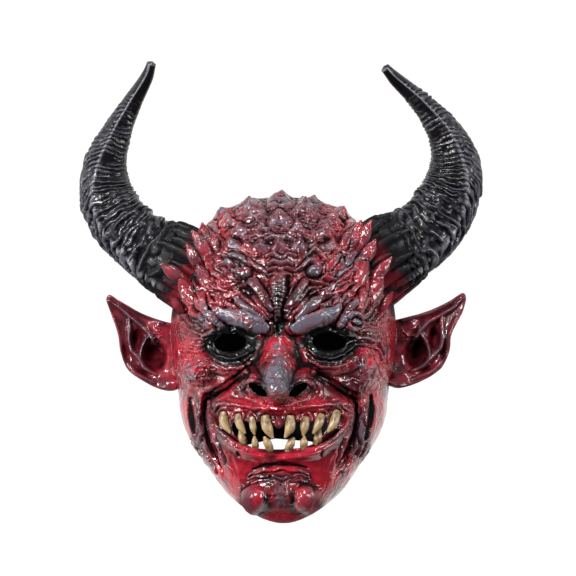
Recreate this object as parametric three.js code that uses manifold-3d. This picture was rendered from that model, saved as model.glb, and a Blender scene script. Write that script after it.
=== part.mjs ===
// A moulded rubber devil mask that covers the whole head, lying on its back.
// Millimetres. +X is the wearer's left, seen at the right; +Y goes up the face to the horn tips, and +Z comes
// out of the face. The floor is z = 0, under the middle of the part.
import * as THREE from "three";
import { mergeVertices } from "three/addons/utils/BufferGeometryUtils.js";
import Module from "manifold-3d";

const wasm = await Module();
wasm.setup();

// Driving sizes of the moulded skin
const WALL = 3.2; // thickness of the rubber
const FIT_GAP = 0.3; // room round every piece that is set into the skin
const RIM_BACK = { y: -122.5, z: 0 }; // where the lower rim crosses the back of the head
const RIM_CHIN = { y: -205, z: 176 }; // and where it passes under the chin
// Facets down the head, across the face and across its back
const OUTSIDE = { rows: 42, front: 36, back: 7, inset: 0, spread: 0 };
const INSIDE = { rows: 14, front: 13, back: 7, inset: WALL * 1.3, spread: 7 };
const ROW_CROWDING = 0.35; // the rows stand closer together at the crown and chin
const COLUMN_CROWDING = 0.16; // the columns stand closer together in the middle of the face
const RELIEF_BLUR = 2.6; // features are averaged over this distance, about half a facet
const [CORE_LOW, CORE_HIGH] = [-110, 20]; // the wall is measured towards a core line between these heights
const HORN_DEPTH = 0.95; // a horn's depth against its width
const HORN_FRONT = 157; // front of the horns at their bases
// Where the keel of a horn runs: degrees from the outer side towards the front
const KEEL_TURNS = [40, 43, 57, 74, 80, 82];
const KEEL_HEIGHT = 0.17; // against the half width
const KEEL_REACH = 0.9; // radians round the horn from the keel to its foot

// The head without its features, crown to chin: height, half width, depths of the face, back and sides
const STATIONS = [
  [86, 0, 106, 106, 106],
  [84.5, 22, 122, 86, 106],
  [80.5, 38, 137, 62, 106],
  [74, 53, 152, 38, 107],
  [63, 66, 166, 15, 107],
  [45, 80, 178, -1, 108],
  [22, 91, 188, -5, 108],
  [-5, 98, 195, -6, 108],
  [-32, 101, 198, -6, 108],
  [-60, 99, 196, -5, 108],
  [-85, 94.5, 196, -1, 109],
  [-108, 92, 199, 6, 111],
  [-128, 85, 201, 16, 114],
  [-146, 73, 200.5, 30, 119],
  [-162, 62, 200, 50, 126],
  [-177, 50.5, 198.5, 76, 136],
  [-190, 34, 192, 106, 148],
  [-199, 17.5, 182, 136, 158],
  [-203.5, 0, 166, 166, 166],
];
const MIDLINE_X = 1.5; // the middle of the head stands a little to the wearer's left of the box's middle
const FACE_SQUARENESS = 2.25; // exponent of the rounded cross section

const clamp01 = (t) => Math.min(1, Math.max(0, t));
const ease = (t) => clamp01(t) ** 2 * (3 - 2 * clamp01(t));
const dome = (r) => (r < 1 ? (1 - r * r) ** 2 : 0);

// A smooth value between the rows of a table, t running from 0 to 1 over the whole table
function between(rows, column, t) {
  const place = clamp01(t) * (rows.length - 1);
  const i = Math.min(rows.length - 2, Math.floor(place));
  const at = (k) => rows[Math.min(rows.length - 1, Math.max(0, k))][column];
  const f = place - i;
  const slopeIn = (at(i + 1) - at(i - 1)) / 2;
  const slopeOut = (at(i + 2) - at(i)) / 2;
  return (
    (2 * f ** 3 - 3 * f ** 2 + 1) * at(i) +
    (f ** 3 - 2 * f ** 2 + f) * slopeIn +
    (3 * f ** 2 - 2 * f ** 3) * at(i + 1) +
    (f ** 3 - f ** 2) * slopeOut
  );
}

// Distance from a point to a drawn line and how far along the line it lies, from 0 to 1
function toLine(x, y, line) {
  let best = { d: Infinity, t: 0 };
  const parts = line.length - 1;
  for (let i = 0; i < parts; i++) {
    const [ax, ay] = line[i];
    const [bx, by] = line[i + 1];
    const [dx, dy] = [bx - ax, by - ay];
    const f = clamp01(((x - ax) * dx + (y - ay) * dy) / (dx * dx + dy * dy));
    const d = Math.hypot(x - ax - f * dx, y - ay - f * dy);
    if (d < best.d) best = { d, t: (i + f) / parts };
  }
  return best;
}

const along = (values, t) => between(values.map((v) => [v]), 0, t);

// Height of a round form: centre, half sizes, turn in degrees and height
function lump(x, y, [cx, cy, rx, ry, turn, height]) {
  const a = (turn * Math.PI) / 180;
  const u = ((x - cx) * Math.cos(a) + (y - cy) * Math.sin(a)) / rx;
  const v = ((y - cy) * Math.cos(a) - (x - cx) * Math.sin(a)) / ry;
  return height * dome(Math.hypot(u, v));
}

// Height of a cord-like form along a line: half widths and heights at even steps from its start to its end
function cord(x, y, { line, width, height }) {
  const { d, t } = toLine(x, y, line);
  return along(height, t) * dome(d / Math.max(0.5, along(width, t)));
}

// Forms of the face, in front view. Those of one list don't pile up, so a crease stays between them.
const MASSES = [
  [-1, -112, 72, 54, 0, 9], // muzzle
  [-80, -68, 21, 19, 20, 12], // cheek apples
  [78, -68, 21, 19, -20, 12],
  [-1, -180, 34, 20, 0, 6], // chin
  [-24, -181, 15, 14, 0, 8],
  [23, -181, 15, 14, 0, 8],
  [0, 10, 74, 52, 0, 7], // forehead
  [-68, -14, 20, 34, 20, 6], // temples
  [68, -14, 20, 34, -20, 6],
];
const BROWS = [
  { line: [[-9, -30], [-30, -22], [-60, -11]], width: [9, 12, 8], height: [11, 15, 6] },
  { line: [[9, -30], [28, -22], [54, -10]], width: [9, 12, 8], height: [11, 15, 6] },
  { line: [[-14, -22], [-26, -12], [-39, -1]], width: [5, 7, 4], height: [8, 10, 4] },
  { line: [[9, -22], [22, -12], [37, -2]], width: [5, 7, 4], height: [8, 10, 4] },
  { line: [[-9, -20], [-17, -8], [-25, 8]], width: [4, 6, 4], height: [7, 8, 4] },
  { line: [[5, -20], [13, -8], [22, 6]], width: [4, 6, 4], height: [7, 8, 4] },
  { line: [[-1, 14], [-2, -8], [-3, -28]], width: [7, 6, 3], height: [7, 8, 7] },
  { line: [[-72, -6], [-66, -20], [-60, -30], [-48, -32]], width: [7, 8, 7, 4], height: [8, 9, 8, 3] },
  { line: [[72, -4], [64, -18], [58, -30], [48, -32]], width: [7, 9, 8, 4], height: [8, 10, 9, 3] },
];
const SOCKETS = [
  [-44, -45, 31, 17, 4, -13],
  [43, -44, 31, 17, -4, -13],
];
const LIDS = [
  {
    line: [[-62, -44], [-55, -53], [-45, -56], [-33, -54], [-26, -47]],
    width: [4, 6, 6, 6, 4],
    height: [3, 7, 8, 7, 3],
  },
  {
    line: [[62, -42], [53, -52], [40, -56], [31, -53], [24, -46]],
    width: [4, 6, 6, 6, 4],
    height: [3, 7, 8, 7, 3],
  },
  { line: [[-64, -36], [-50, -32], [-34, -36]], width: [4, 5, 4], height: [3, 6, 3] },
  { line: [[64, -34], [48, -31], [32, -35]], width: [4, 5, 4], height: [3, 6, 3] },
];
const BAGS = [
  { line: [[-74, -52], [-60, -63], [-42, -66], [-30, -60]], width: [6, 8, 8, 5], height: [5, 7, 7, 3] },
  { line: [[74, -50], [60, -62], [42, -66], [28, -60]], width: [6, 8, 8, 5], height: [5, 7, 7, 3] },
];
const NOSE = [
  { line: [[-1, -34], [-2, -50], [-3, -66], [-4, -80]], width: [12, 18, 23, 26], height: [5, 16, 28, 34] },
  { line: [[-4, -70], [-4, -80]], width: [23, 24], height: [33, 41] },
  { line: [[-24, -76], [-20, -83]], width: [15, 13], height: [24, 20] },
  { line: [[17, -76], [13, -83]], width: [15, 13], height: [24, 20] },
];
const CREASES = [
  {
    line: [[-34, -70], [-48, -83], [-64, -92], [-67, -108], [-64, -128], [-55, -147], [-47, -162]],
    width: [5, 6, 7, 7, 7, 6, 4],
    height: [-5, -8, -10, -10, -9, -7, -2],
  },
  {
    line: [[31, -70], [48, -83], [63, -92], [66, -108], [63, -126], [54, -146], [46, -160]],
    width: [5, 6, 7, 7, 7, 6, 4],
    height: [-5, -8, -10, -10, -9, -7, -2],
  },
  { line: [[-27, -154], [0, -148], [24, -153]], width: [5, 6, 5], height: [-4, -7, -4] },
  { line: [[-84, -90], [-81, -106], [-78, -122]], width: [4, 5, 4], height: [-4, -7, -4] },
  { line: [[80, -90], [80, -106], [77, -122]], width: [4, 5, 4], height: [-4, -7, -4] },
  { line: [[-12, -172], [-11, -190]], width: [4, 4], height: [-5, -5] },
  { line: [[10, -172], [11, -190]], width: [4, 4], height: [-5, -5] },
];
const JOWLS = [
  { line: [[-72, -94], [-74, -110], [-70, -130], [-60, -152]], width: [6, 7, 7, 5], height: [5, 7, 6, 3] },
  { line: [[72, -94], [74, -110], [70, -130], [60, -152]], width: [6, 7, 7, 5], height: [5, 7, 6, 3] },
];
const LIPS = [
  {
    line: [[-60, -99], [-46, -97], [-25, -99], [0, -100], [25, -99], [46, -97], [60, -98]],
    width: [4, 6, 6, 7, 6, 6, 4],
    height: [2, 6, 7, 8, 7, 6, 2],
  },
  {
    line: [[-59, -112], [-48, -130], [-30, -139], [0, -143], [30, -139], [48, -129], [58, -112]],
    width: [4, 6, 7, 8, 7, 6, 4],
    height: [2, 6, 8, 9, 8, 6, 2],
  },
];
// Blunt scales of the scalp: middle, half length, half width, turn and height
const SCALES = [
  [-1, 62, 10, 8, 0, 8],
  [-33, 56, 9, 8, 20, 8],
  [36, 58, 9, 8, -20, 8],
  [-22, 76, 8, 7, 0, 7],
  [22, 77, 8, 7, 0, 7],
  [-14, 41, 9, 7, 15, 7],
  [14, 42, 9, 7, -15, 7],
  [-41, 40, 9, 8, 30, 8],
  [45, 40, 9, 8, -30, 8],
  [-35, 18, 10, 9, 30, 9],
  [29, 19, 10, 9, -30, 9],
  [0, 27, 13, 6, 0, 7],
  [-60, 52, 8, 8, 0, 7],
  [60, 54, 8, 8, 0, 7],
  [-58, 22, 9, 7, 40, 7],
  [58, 18, 9, 7, -40, 7],
];

const highest = (x, y, forms, shape) => Math.max(0, ...forms.map((form) => shape(x, y, form)));
const lowest = (x, y, forms, shape) => Math.min(0, ...forms.map((form) => shape(x, y, form)));

// How far the face stands out of the plain head at a point of the front view
function relief(x, y) {
  const mass = MASSES.reduce((sum, form) => sum + lump(x, y, form), 0);
  const raised = Math.max(
    highest(x, y, BROWS, cord),
    highest(x, y, NOSE, cord),
    highest(x, y, BAGS, cord),
    highest(x, y, JOWLS, cord),
    highest(x, y, LIPS, cord),
    highest(x, y, SCALES, lump),
  );
  const sunk = lowest(x, y, SOCKETS, lump) + lowest(x, y, CREASES, cord);
  return mass + raised + sunk + highest(x, y, LIDS, cord);
}

// A closed mesh from rings of points that run from one end point to the other; the rings turn anticlockwise
// seen from the first end
function closedRings(first, rings, last) {
  const size = rings[0].length;
  const points = [first, ...rings.flat(), last];
  const faces = [];
  const at = (ring, k) => 1 + ring * size + (k % size);
  for (let k = 0; k < size; k++) {
    faces.push([0, at(0, k), at(0, k + 1)]);
    faces.push([points.length - 1, at(rings.length - 1, k + 1), at(rings.length - 1, k)]);
  }
  for (let ring = 0; ring + 1 < rings.length; ring++) {
    for (let k = 0; k < size; k++) {
      faces.push([at(ring, k), at(ring + 1, k), at(ring + 1, k + 1)]);
      faces.push([at(ring, k), at(ring + 1, k + 1), at(ring, k + 1)]);
    }
  }
  const geometry = new THREE.BufferGeometry();
  const coordinates = points.flatMap((p) => [p.x, p.y, p.z]);
  geometry.setAttribute("position", new THREE.Float32BufferAttribute(coordinates, 3));
  geometry.setIndex(faces.flat());
  return geometry;
}

// Solids for the joins and cuts
function solid(geometry) {
  const plain = geometry.clone();
  plain.deleteAttribute("normal");
  plain.deleteAttribute("uv");
  const merged = mergeVertices(plain, 1e-4);
  return new wasm.Manifold(
    new wasm.Mesh({
      numProp: 3,
      vertProperties: merged.attributes.position.array,
      triVerts: new Uint32Array(merged.index.array),
    }),
  );
}

function geometryOf(made) {
  const { vertProperties, triVerts, numProp } = made.getMesh();
  const geometry = new THREE.BufferGeometry();
  const position = new Float32Array((vertProperties.length / numProp) * 3);
  for (let i = 0; i < position.length / 3; i++) {
    const start = i * numProp;
    position.set(vertProperties.subarray(start, start + 3), i * 3);
  }
  geometry.setAttribute("position", new THREE.BufferAttribute(position, 3));
  geometry.setIndex(new THREE.BufferAttribute(triVerts, 1));
  return geometry;
}

// Where a height lies in the table of stations, from 0 to 1
function stationAt(y) {
  let [low, high] = [0, 1];
  for (let step = 0; step < 30; step++) {
    const middle = (low + high) / 2;
    if (between(STATIONS, 0, middle) > y) low = middle;
    else high = middle;
  }
  return low;
}

// A point of the plain head: t runs from crown to chin, and turn goes round from the left over the face
function plainHead(t, turn) {
  const [y, half, face, back, side] = [0, 1, 2, 3, 4].map((column) => between(STATIONS, column, t));
  const power = 2 / FACE_SQUARENESS;
  const [c, s] = [Math.cos(turn), Math.sin(turn)];
  const reach = s > 0 ? face - side : side - back;
  return new THREE.Vector3(
    MIDLINE_X - Math.sign(c) * Math.max(0, half) * Math.abs(c) ** power,
    y,
    side + Math.sign(s) * reach * Math.abs(s) ** power,
  );
}

// Relief at a point of the head, which fades out where the face turns to the side. Looked at over a spread,
// it is the lowest relief there.
function reliefAt(point, side, spread) {
  const facing = ease((point.z - side - 2) / 22);
  if (facing === 0) return 0;
  const reach = spread || RELIEF_BLUR;
  const steps = [[0, 0], [1, 0], [-1, 0], [0, 1], [0, -1]];
  const heights = steps.map(([dx, dy]) => relief(point.x + dx * reach, point.y + dy * reach));
  const average = heights.reduce((sum, h) => sum + h) / heights.length;
  return facing * (spread ? Math.min(...heights) : average);
}

// The head as a closed mesh. An inset one lies under the lowest relief nearby, so that the wall between
// keeps its thickness.
function headMesh({ rows, front, back, inset, spread }) {
  const rings = [];
  for (let i = 1; i <= rows; i++) {
    const even = i / (rows + 1);
    const share = (1 - ROW_CROWDING) * even + ROW_CROWDING * (0.5 - 0.5 * Math.cos(Math.PI * even));
    const t = stationAt(THREE.MathUtils.lerp(STATIONS[0][0], STATIONS.at(-1)[0], share));
    const side = between(STATIONS, 4, t);
    const ring = [];
    for (let k = 0; k < front + back; k++) {
      const across = (Math.PI * k) / front + COLUMN_CROWDING * Math.sin((2 * Math.PI * k) / front);
      const turn = k < front ? across : Math.PI + (Math.PI * (k - front)) / back;
      const point = plainHead(t, turn);
      const middle = new THREE.Vector3(MIDLINE_X, THREE.MathUtils.clamp(point.y, CORE_LOW, CORE_HIGH), side);
      const inward = middle.sub(point).normalize();
      point.z += reliefAt(point, side, spread);
      point.addScaledVector(inward, inset);
      if (inset > 0) point.z = Math.max(point.z, WALL);
      ring.push(point);
    }
    rings.push(ring);
  }
  const [top, bottom] = [STATIONS[0], STATIONS.at(-1)];
  return closedRings(
    new THREE.Vector3(MIDLINE_X, top[0] - inset, top[4]),
    rings,
    new THREE.Vector3(MIDLINE_X, bottom[0] + inset, bottom[4]),
  );
}

// Front view depth of the plain head, at a point of the face
function plainDepth(x, y) {
  const t = stationAt(y);
  const [half, face, side] = [1, 2, 4].map((column) => between(STATIONS, column, t));
  const share = Math.min(1, Math.abs(x - MIDLINE_X) / half);
  return side + (face - side) * (1 - share ** FACE_SQUARENESS) ** (1 / FACE_SQUARENESS);
}

const TIP_LENGTH = 0.5; // a swept form's point, against its last half width
// A tapered form swept along a curve: half sizes across and through, at even steps along it. Its first edge
// runs where the given turn has it.
function swept(points, across, through, { rings, sides, grow = 0, shape = () => 1, firstEdge = () => 0 }) {
  const curve = new THREE.CatmullRomCurve3(points.map((p) => new THREE.Vector3(...p)));
  const up = new THREE.Vector3(0, 0, 1);
  const made = [];
  for (let i = 0; i <= rings; i++) {
    const t = i / rings;
    const middle = curve.getPoint(t);
    const ahead = curve.getTangent(t);
    const side = new THREE.Vector3().crossVectors(up, ahead).normalize();
    const front = new THREE.Vector3().crossVectors(ahead, side).normalize();
    if (i === 0) middle.addScaledVector(ahead, -grow);
    const ring = [];
    for (let k = 0; k < sides; k++) {
      const turn = firstEdge(t) - (2 * Math.PI * k) / sides;
      const bulge = shape(t, turn);
      const a = (along(across, t) * bulge + grow) * Math.cos(turn);
      const b = (along(through, t) * bulge + grow) * Math.sin(turn);
      ring.push(middle.clone().addScaledVector(side, a).addScaledVector(front, b));
    }
    made.push(ring);
  }
  const tip = curve.getPoint(1).addScaledVector(curve.getTangent(1), along(across, 1) * TIP_LENGTH + grow);
  const root = curve.getPoint(0).addScaledVector(curve.getTangent(0), -grow);
  return solid(closedRings(root, made, tip));
}

// The horns differ: the right one is fatter and turns further in. Half widths are at even steps, root to tip.
const HORN_RINGS = 26;
const HORN_SIDES = 12;
const GROWTH_RINGS = 10; // coarse swells along the horn
const SWELL_HEIGHT = 0.035; // against the half width
const HORNS = {
  left_horn: {
    path: [
      [-50, 2, 124],
      [-95, 28, 122],
      [-125, 46, 116],
      [-146, 66, 110],
      [-157.5, 90, 107],
      [-157.5, 116, 110],
      [-148, 142, 119],
      [-133, 169, 133],
      [-119, 192, 146],
      [-115, 203, 151],
    ],
    half: [38, 35, 28, 26.5, 24.5, 19, 13.5, 9, 6, 4.4],
  },
  right_horn: {
    path: [
      [56, 4, 124],
      [99, 36, 122],
      [124, 52, 117],
      [141, 71, 111],
      [153, 95, 108],
      [155, 117, 110],
      [147, 141, 119],
      [125.3, 168, 133],
      [100.4, 190, 146],
      [91.5, 199, 152],
    ],
    half: [39, 36.5, 30, 29, 26.5, 22, 16, 10, 6.5, 4.6],
  },
};

function horn({ path, half }, grow) {
  const onRight = path[0][0] > 0;
  const keelTurn = (t) => {
    const turn = (along(KEEL_TURNS, t) * Math.PI) / 180;
    return onRight ? Math.PI - turn : turn;
  };
  // Shares of the way from root to tip where a form starts, is full, begins to fade and ends
  const fade = (t, start, full, fading, end) =>
    ease((t - start) / (full - start)) * ease((end - t) / (end - fading));
  const shape = (t, turn) => {
    const swell = SWELL_HEIGHT * Math.cos(2 * Math.PI * GROWTH_RINGS * t) * fade(t, 0, 0.15, 0.75, 0.85);
    const away = Math.acos(Math.cos(turn - keelTurn(t)));
    const keel = KEEL_HEIGHT * Math.max(0, 1 - away / KEEL_REACH) ** 2 * fade(t, 0.12, 0.22, 0.77, 0.97);
    return 1 + swell + keel;
  };
  const depths = half.map((h) => h * HORN_DEPTH);
  return swept(path, half, depths, { rings: HORN_RINGS, sides: HORN_SIDES, grow, shape, firstEdge: keelTurn });
}

// Ears, in front view: the outline runs from the head over the tip to the lobe and closes inside the head
const EAR_RIM_THICK = 4; // thickness of the ear's edge
const EAR_ROOT_DEPTH = 118; // depth of the ear where it leaves the head
const EAR_LEAN = 0.1; // how far the ear leans back on its way to the tip
const EAR_CURL = 8; // how far its edge curls forwards
const EAR_MIDDLE_THICK = 10; // more thickness in the middle of the ear
const EAR_ROOT_THICK = 12; // and more where it joins the head
const EAR_STEPS = 28;
const EARS = [
  {
    middle: [-117, -46],
    outline: [
      [-88, -30], [-103, -26], [-125, -18], [-145, -7], [-156, -2], [-153.5, -16], [-147, -35], [-144, -54],
      [-138, -68], [-122, -80], [-105, -87], [-93, -86], [-84, -70],
    ],
    ridges: [
      {
        line: [[-150, -8], [-137, -18], [-126, -27], [-118, -38], [-108, -52]],
        width: [3, 4, 5, 5, 3],
        height: [2, 5, 6, 6, 2],
      },
      { line: [[-137, -24], [-136, -44], [-128, -61], [-118, -68]], width: [3, 4, 5, 4], height: [2, 5, 6, 3] },
    ],
    hollows: [
      [-129.5, -46, 7, 15, -8, -7],
      [-112, -57, 13, 15, 0, -10],
    ],
  },
  {
    middle: [123, -46],
    outline: [
      [90, -28], [106, -23], [131, -16], [152, -6], [164.5, 0], [161.5, -17], [152.5, -36], [149.5, -54],
      [143, -67], [129, -77], [106, -85], [96, -83], [86, -70],
    ],
    ridges: [
      {
        line: [[160, -6], [144, -19], [128, -30], [121, -40], [114, -52]],
        width: [3, 4, 5, 5, 3],
        height: [2, 5, 6, 6, 2],
      },
      { line: [[143, -22], [144, -42], [134, -58], [122, -66]], width: [3, 4, 5, 4], height: [2, 5, 6, 3] },
    ],
    hollows: [
      [136.5, -43, 7, 14, 8, -7],
      [118, -57, 14, 15, 0, -10],
    ],
  },
];
const EAR_LEVELS = [0.45, 0.8, 1]; // shares of the way out to the edge that carry a row of points

function ear({ middle, outline, ridges, hollows }) {
  const edge = new THREE.CatmullRomCurve3(outline.map(([x, y]) => new THREE.Vector3(x, y, 0)), true);
  const side = Math.sign(middle[0]);
  // The ear leans back towards its tip and its edge curls forwards
  const frontDepth = (x, y, out) => {
    const lean = EAR_ROOT_DEPTH - EAR_LEAN * Math.max(0, Math.abs(x) - 90);
    const curl = EAR_CURL * out ** 3;
    return lean + curl - EAR_RIM_THICK + highest(x, y, ridges, cord) + lowest(x, y, hollows, lump);
  };
  const ring = (out, back) => {
    const points = [];
    for (let k = 0; k < EAR_STEPS; k++) {
      const p = edge.getPoint(k / EAR_STEPS);
      const x = middle[0] + out * (p.x - middle[0]);
      const y = middle[1] + out * (p.y - middle[1]);
      const root = ease((100 - Math.abs(x)) / 14);
      const thick = EAR_RIM_THICK + EAR_MIDDLE_THICK * (1 - out) + EAR_ROOT_THICK * root;
      points.push(new THREE.Vector3(x, y, frontDepth(x, y, out) - (back ? thick : 0)));
    }
    return points;
  };
  const rings = [
    ...EAR_LEVELS.map((out) => ring(out, false)),
    ...EAR_LEVELS.toReversed().map((out) => ring(out, true)),
  ];
  const turned = side > 0 ? rings.map((r) => r.toReversed()) : rings;
  const centre = (back) => {
    const [x, y] = middle;
    return new THREE.Vector3(x, y, frontDepth(x, y, 0) - (back ? EAR_RIM_THICK + EAR_MIDDLE_THICK : 0));
  };
  return solid(closedRings(centre(false), turned, centre(true)));
}

// Flame-like scales that stand off the skin in front of the horn bases: root, tip and half width in front view
const FLAMES = [
  [-73, -16, -91, 14, 7],
  [-59, -2, -76, 28, 6],
  [-61, 30, -79, 55, 5.5],
  [-70, 20, -84, 43, 5],
  [-80, 6, -107, 26, 6],
  [-86, -20, -98, -2, 4.5],
  [-66, 40, -70, 62, 5],
  [73, -14, 89.5, 18, 7],
  [64, 0, 76, 34, 6],
  [65, 35, 79, 64, 5.5],
  [70, 24, 83, 47, 5.5],
  [78, 8, 97, 32, 5],
  [86, -18, 98, 1, 4.5],
  [64, 42, 70, 64, 5],
];
const FLAME_LIFT = 5; // the tips stand this far off the skin or the horn

function flame([rootX, rootY, tipX, tipY, half]) {
  const rootZ = plainDepth(rootX, rootY) - 2;
  const tipZ = Math.max(plainDepth(tipX, tipY), HORN_FRONT) + FLAME_LIFT;
  const [midX, midY] = [(rootX + tipX) / 2, (rootY + tipY) / 2];
  const midZ = (rootZ + tipZ) / 2 + 3;
  return swept(
    [[rootX, rootY, rootZ], [midX, midY, midZ], [tipX, tipY, tipZ]],
    [half * 0.6, half * 1.05, half * 0.8, 0.5],
    [half * 0.7, half * 0.7, half * 0.5, 0.5],
    { rings: 3, sides: 4 },
  );
}

// Teeth, in front view: root, middle, tip and full width. They stand on the gum in one row along the jaw.
const TOOTH_SIDES = 7;
const TOOTH_RINGS = 3;
const UPPER_TEETH = [
  [[-50.5, -104], [-49.5, -114], [-44.5, -122], 8.4],
  [[-38, -106], [-36, -115], [-31.5, -122], 7.6],
  [[-25.5, -108], [-24.6, -116], [-23.4, -123], 6.6],
  [[-14, -107], [-12.5, -116], [-7.5, -126], 9.6],
  [[8, -107], [7.5, -116], [3, -125.5], 9],
  [[21.5, -108], [20, -116], [19, -124], 7.6],
  [[35, -106], [32, -114], [27.5, -122], 7.8],
  [[48, -103], [45.5, -113], [40, -121], 8.6],
];
const LOWER_TEETH = [
  [[-33, -132], [-34.5, -126], [-36.5, -120], 7.2],
  [[-22.5, -136], [-23, -130], [-23.5, -124.5], 6.4],
  [[-9.5, -138], [-12, -131], [-15, -125], 7.8],
  [[5, -138], [8, -131], [11, -125.5], 7.6],
  [[19, -136], [19.5, -130], [20, -124.5], 7],
  [[30, -132], [32, -125], [34, -119], 7.4],
];
const UPPER_SET_BACK = -1; // the upper roots stand this far behind the gum's face
const LOWER_SET_BACK = 5; // and the lower ones, so that the rows pass each other

function tooth([root, middle, tip, width], setBack, grow) {
  const place = ([x, y], forward) => [x, y, plainDepth(x, y) + lump(x, y, MASSES[0]) - setBack + forward];
  const half = width / 2;
  return swept(
    [place(root, -1), place(middle, 0.5), place(tip, 0)],
    [half * 0.85, half, half * 0.85, half * 0.3],
    [half * 0.9, half * 0.95, half * 0.75, half * 0.3],
    { rings: TOOTH_RINGS, sides: TOOTH_SIDES, grow },
  );
}

// Holes through the face, drawn in front view and cut straight back into the hollow
const HOLE_FROM = 110;
const HOLE_LONG = 150;
function holeThrough(outline) {
  const shape = new THREE.Shape(outline);
  const geometry = new THREE.ExtrudeGeometry(shape, { depth: HOLE_LONG, bevelEnabled: false });
  return solid(geometry.translate(0, 0, HOLE_FROM));
}

function ellipse(cx, cy, rx, ry, turn) {
  const curve = new THREE.EllipseCurve(cx, cy, rx, ry, 0, 2 * Math.PI, false, (turn * Math.PI) / 180);
  return curve.getPoints(12).slice(1);
}

const EYE_HOLES = [
  [-45, -43.5, 14, 8, 4],
  [42, -42.5, 15, 8, -4],
];
const NOSTRILS = [
  [-20.5, -83.5, 9.5, 3.7, -35],
  [14.5, -83.5, 9.5, 3.7, 35],
];
const MOUTH_EDGE = [
  [-41, -112], [-26, -112], [-10, -112], [-2.5, -118], [5, -112], [22, -112], [38, -111], [39, -118], [34, -127],
  [22, -133.5], [8, -135.5], [-10, -136], [-26, -134], [-37, -128], [-43, -119],
];

// Everything below the cut rim: a slab whose top face holds the rim
const BEYOND = 600; // more than the mask measures any way
function belowRim() {
  const [dy, dz] = [RIM_CHIN.y - RIM_BACK.y, RIM_CHIN.z - RIM_BACK.z];
  const slab = new THREE.BoxGeometry(BEYOND, BEYOND, BEYOND);
  slab.translate(0, -BEYOND / 2, 0);
  slab.rotateX(Math.atan2(-dy, dz));
  return solid(slab.translate(0, (RIM_BACK.y + RIM_CHIN.y) / 2, (RIM_BACK.z + RIM_CHIN.z) / 2));
}

const MATERIALS = {
  rubber: new THREE.MeshStandardMaterial({ color: 0x8e1f2b, roughness: 0.35, metalness: 0 }),
  horn: new THREE.MeshStandardMaterial({ color: 0x2a2a2e, roughness: 0.45, metalness: 0 }),
  bone: new THREE.MeshStandardMaterial({ color: 0xc8b07a, roughness: 0.5, metalness: 0 }),
};

const mask = new THREE.Group();
function put(name, made, material) {
  const mesh = new THREE.Mesh(geometryOf(made), material);
  mesh.name = name;
  mask.add(mesh);
}

const hollow = solid(headMesh(INSIDE));
let skin = solid(headMesh(OUTSIDE));
for (const form of EARS) skin = skin.add(ear(form));
for (const form of FLAMES) skin = skin.add(flame(form));
skin = skin.subtract(hollow).subtract(belowRim());
for (const [cx, cy, rx, ry, turn] of [...EYE_HOLES, ...NOSTRILS]) {
  skin = skin.subtract(holeThrough(ellipse(cx, cy, rx, ry, turn)));
}
const mouthCurve = new THREE.CatmullRomCurve3(MOUTH_EDGE.map(([x, y]) => new THREE.Vector3(x, y, 0)), true);
skin = skin.subtract(holeThrough(mouthCurve.getPoints(34).slice(1).map((p) => new THREE.Vector2(p.x, p.y))));
const underFloor = new THREE.BoxGeometry(BEYOND, BEYOND, BEYOND).translate(0, 0, -BEYOND / 2);
skin = skin.subtract(solid(underFloor));

for (const [name, form] of Object.entries(HORNS)) {
  skin = skin.subtract(horn(form, FIT_GAP));
  put(name, horn(form, 0).subtract(hollow), MATERIALS.horn);
}
for (const [name, row, setBack] of [
  ["upper_tooth_", UPPER_TEETH, UPPER_SET_BACK],
  ["lower_tooth_", LOWER_TEETH, LOWER_SET_BACK],
]) {
  row.forEach((form, i) => {
    skin = skin.subtract(tooth(form, setBack, FIT_GAP));
    put(name + (i + 1), tooth(form, setBack, 0), MATERIALS.bone);
  });
}
put("mask_skin", skin, MATERIALS.rubber);

export default mask;
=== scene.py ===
"""Looks of a moulded rubber devil mask on a pale table: painted latex skin, cast horns and teeth."""

import math

import bmesh
import bpy
import numpy as np
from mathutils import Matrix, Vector


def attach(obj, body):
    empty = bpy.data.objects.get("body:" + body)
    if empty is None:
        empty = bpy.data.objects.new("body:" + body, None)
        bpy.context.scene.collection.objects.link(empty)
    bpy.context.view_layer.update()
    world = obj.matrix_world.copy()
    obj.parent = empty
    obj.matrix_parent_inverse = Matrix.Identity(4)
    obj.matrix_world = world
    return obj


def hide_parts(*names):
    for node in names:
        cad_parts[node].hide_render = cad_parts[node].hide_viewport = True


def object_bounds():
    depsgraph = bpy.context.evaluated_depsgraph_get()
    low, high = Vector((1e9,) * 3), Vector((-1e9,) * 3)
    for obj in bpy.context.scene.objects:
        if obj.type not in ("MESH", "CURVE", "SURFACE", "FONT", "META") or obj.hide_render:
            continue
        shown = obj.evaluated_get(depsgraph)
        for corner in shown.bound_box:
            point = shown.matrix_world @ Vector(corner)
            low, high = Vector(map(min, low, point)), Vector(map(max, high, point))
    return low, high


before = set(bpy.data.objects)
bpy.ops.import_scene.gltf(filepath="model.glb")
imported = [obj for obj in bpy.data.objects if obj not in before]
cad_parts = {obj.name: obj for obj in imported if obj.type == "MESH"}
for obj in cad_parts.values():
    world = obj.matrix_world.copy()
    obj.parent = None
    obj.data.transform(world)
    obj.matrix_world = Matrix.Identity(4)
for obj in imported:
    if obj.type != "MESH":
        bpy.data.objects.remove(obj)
cad_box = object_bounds()

MM = 0.001  # the sculpting below is in millimetres, as the solids are; finished meshes are in metres

# The camera looks straight down on the face from a long way off, as a product photograph is taken
CAMERA_OVER = (5.66, 4.35)
CAMERA_ABOVE_FACE = 3000.0
FACE_PLANE = 200.0  # the photograph's scale is taken at this height
VIEW_WIDE = 501.12
SENSOR = 36.0

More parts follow.
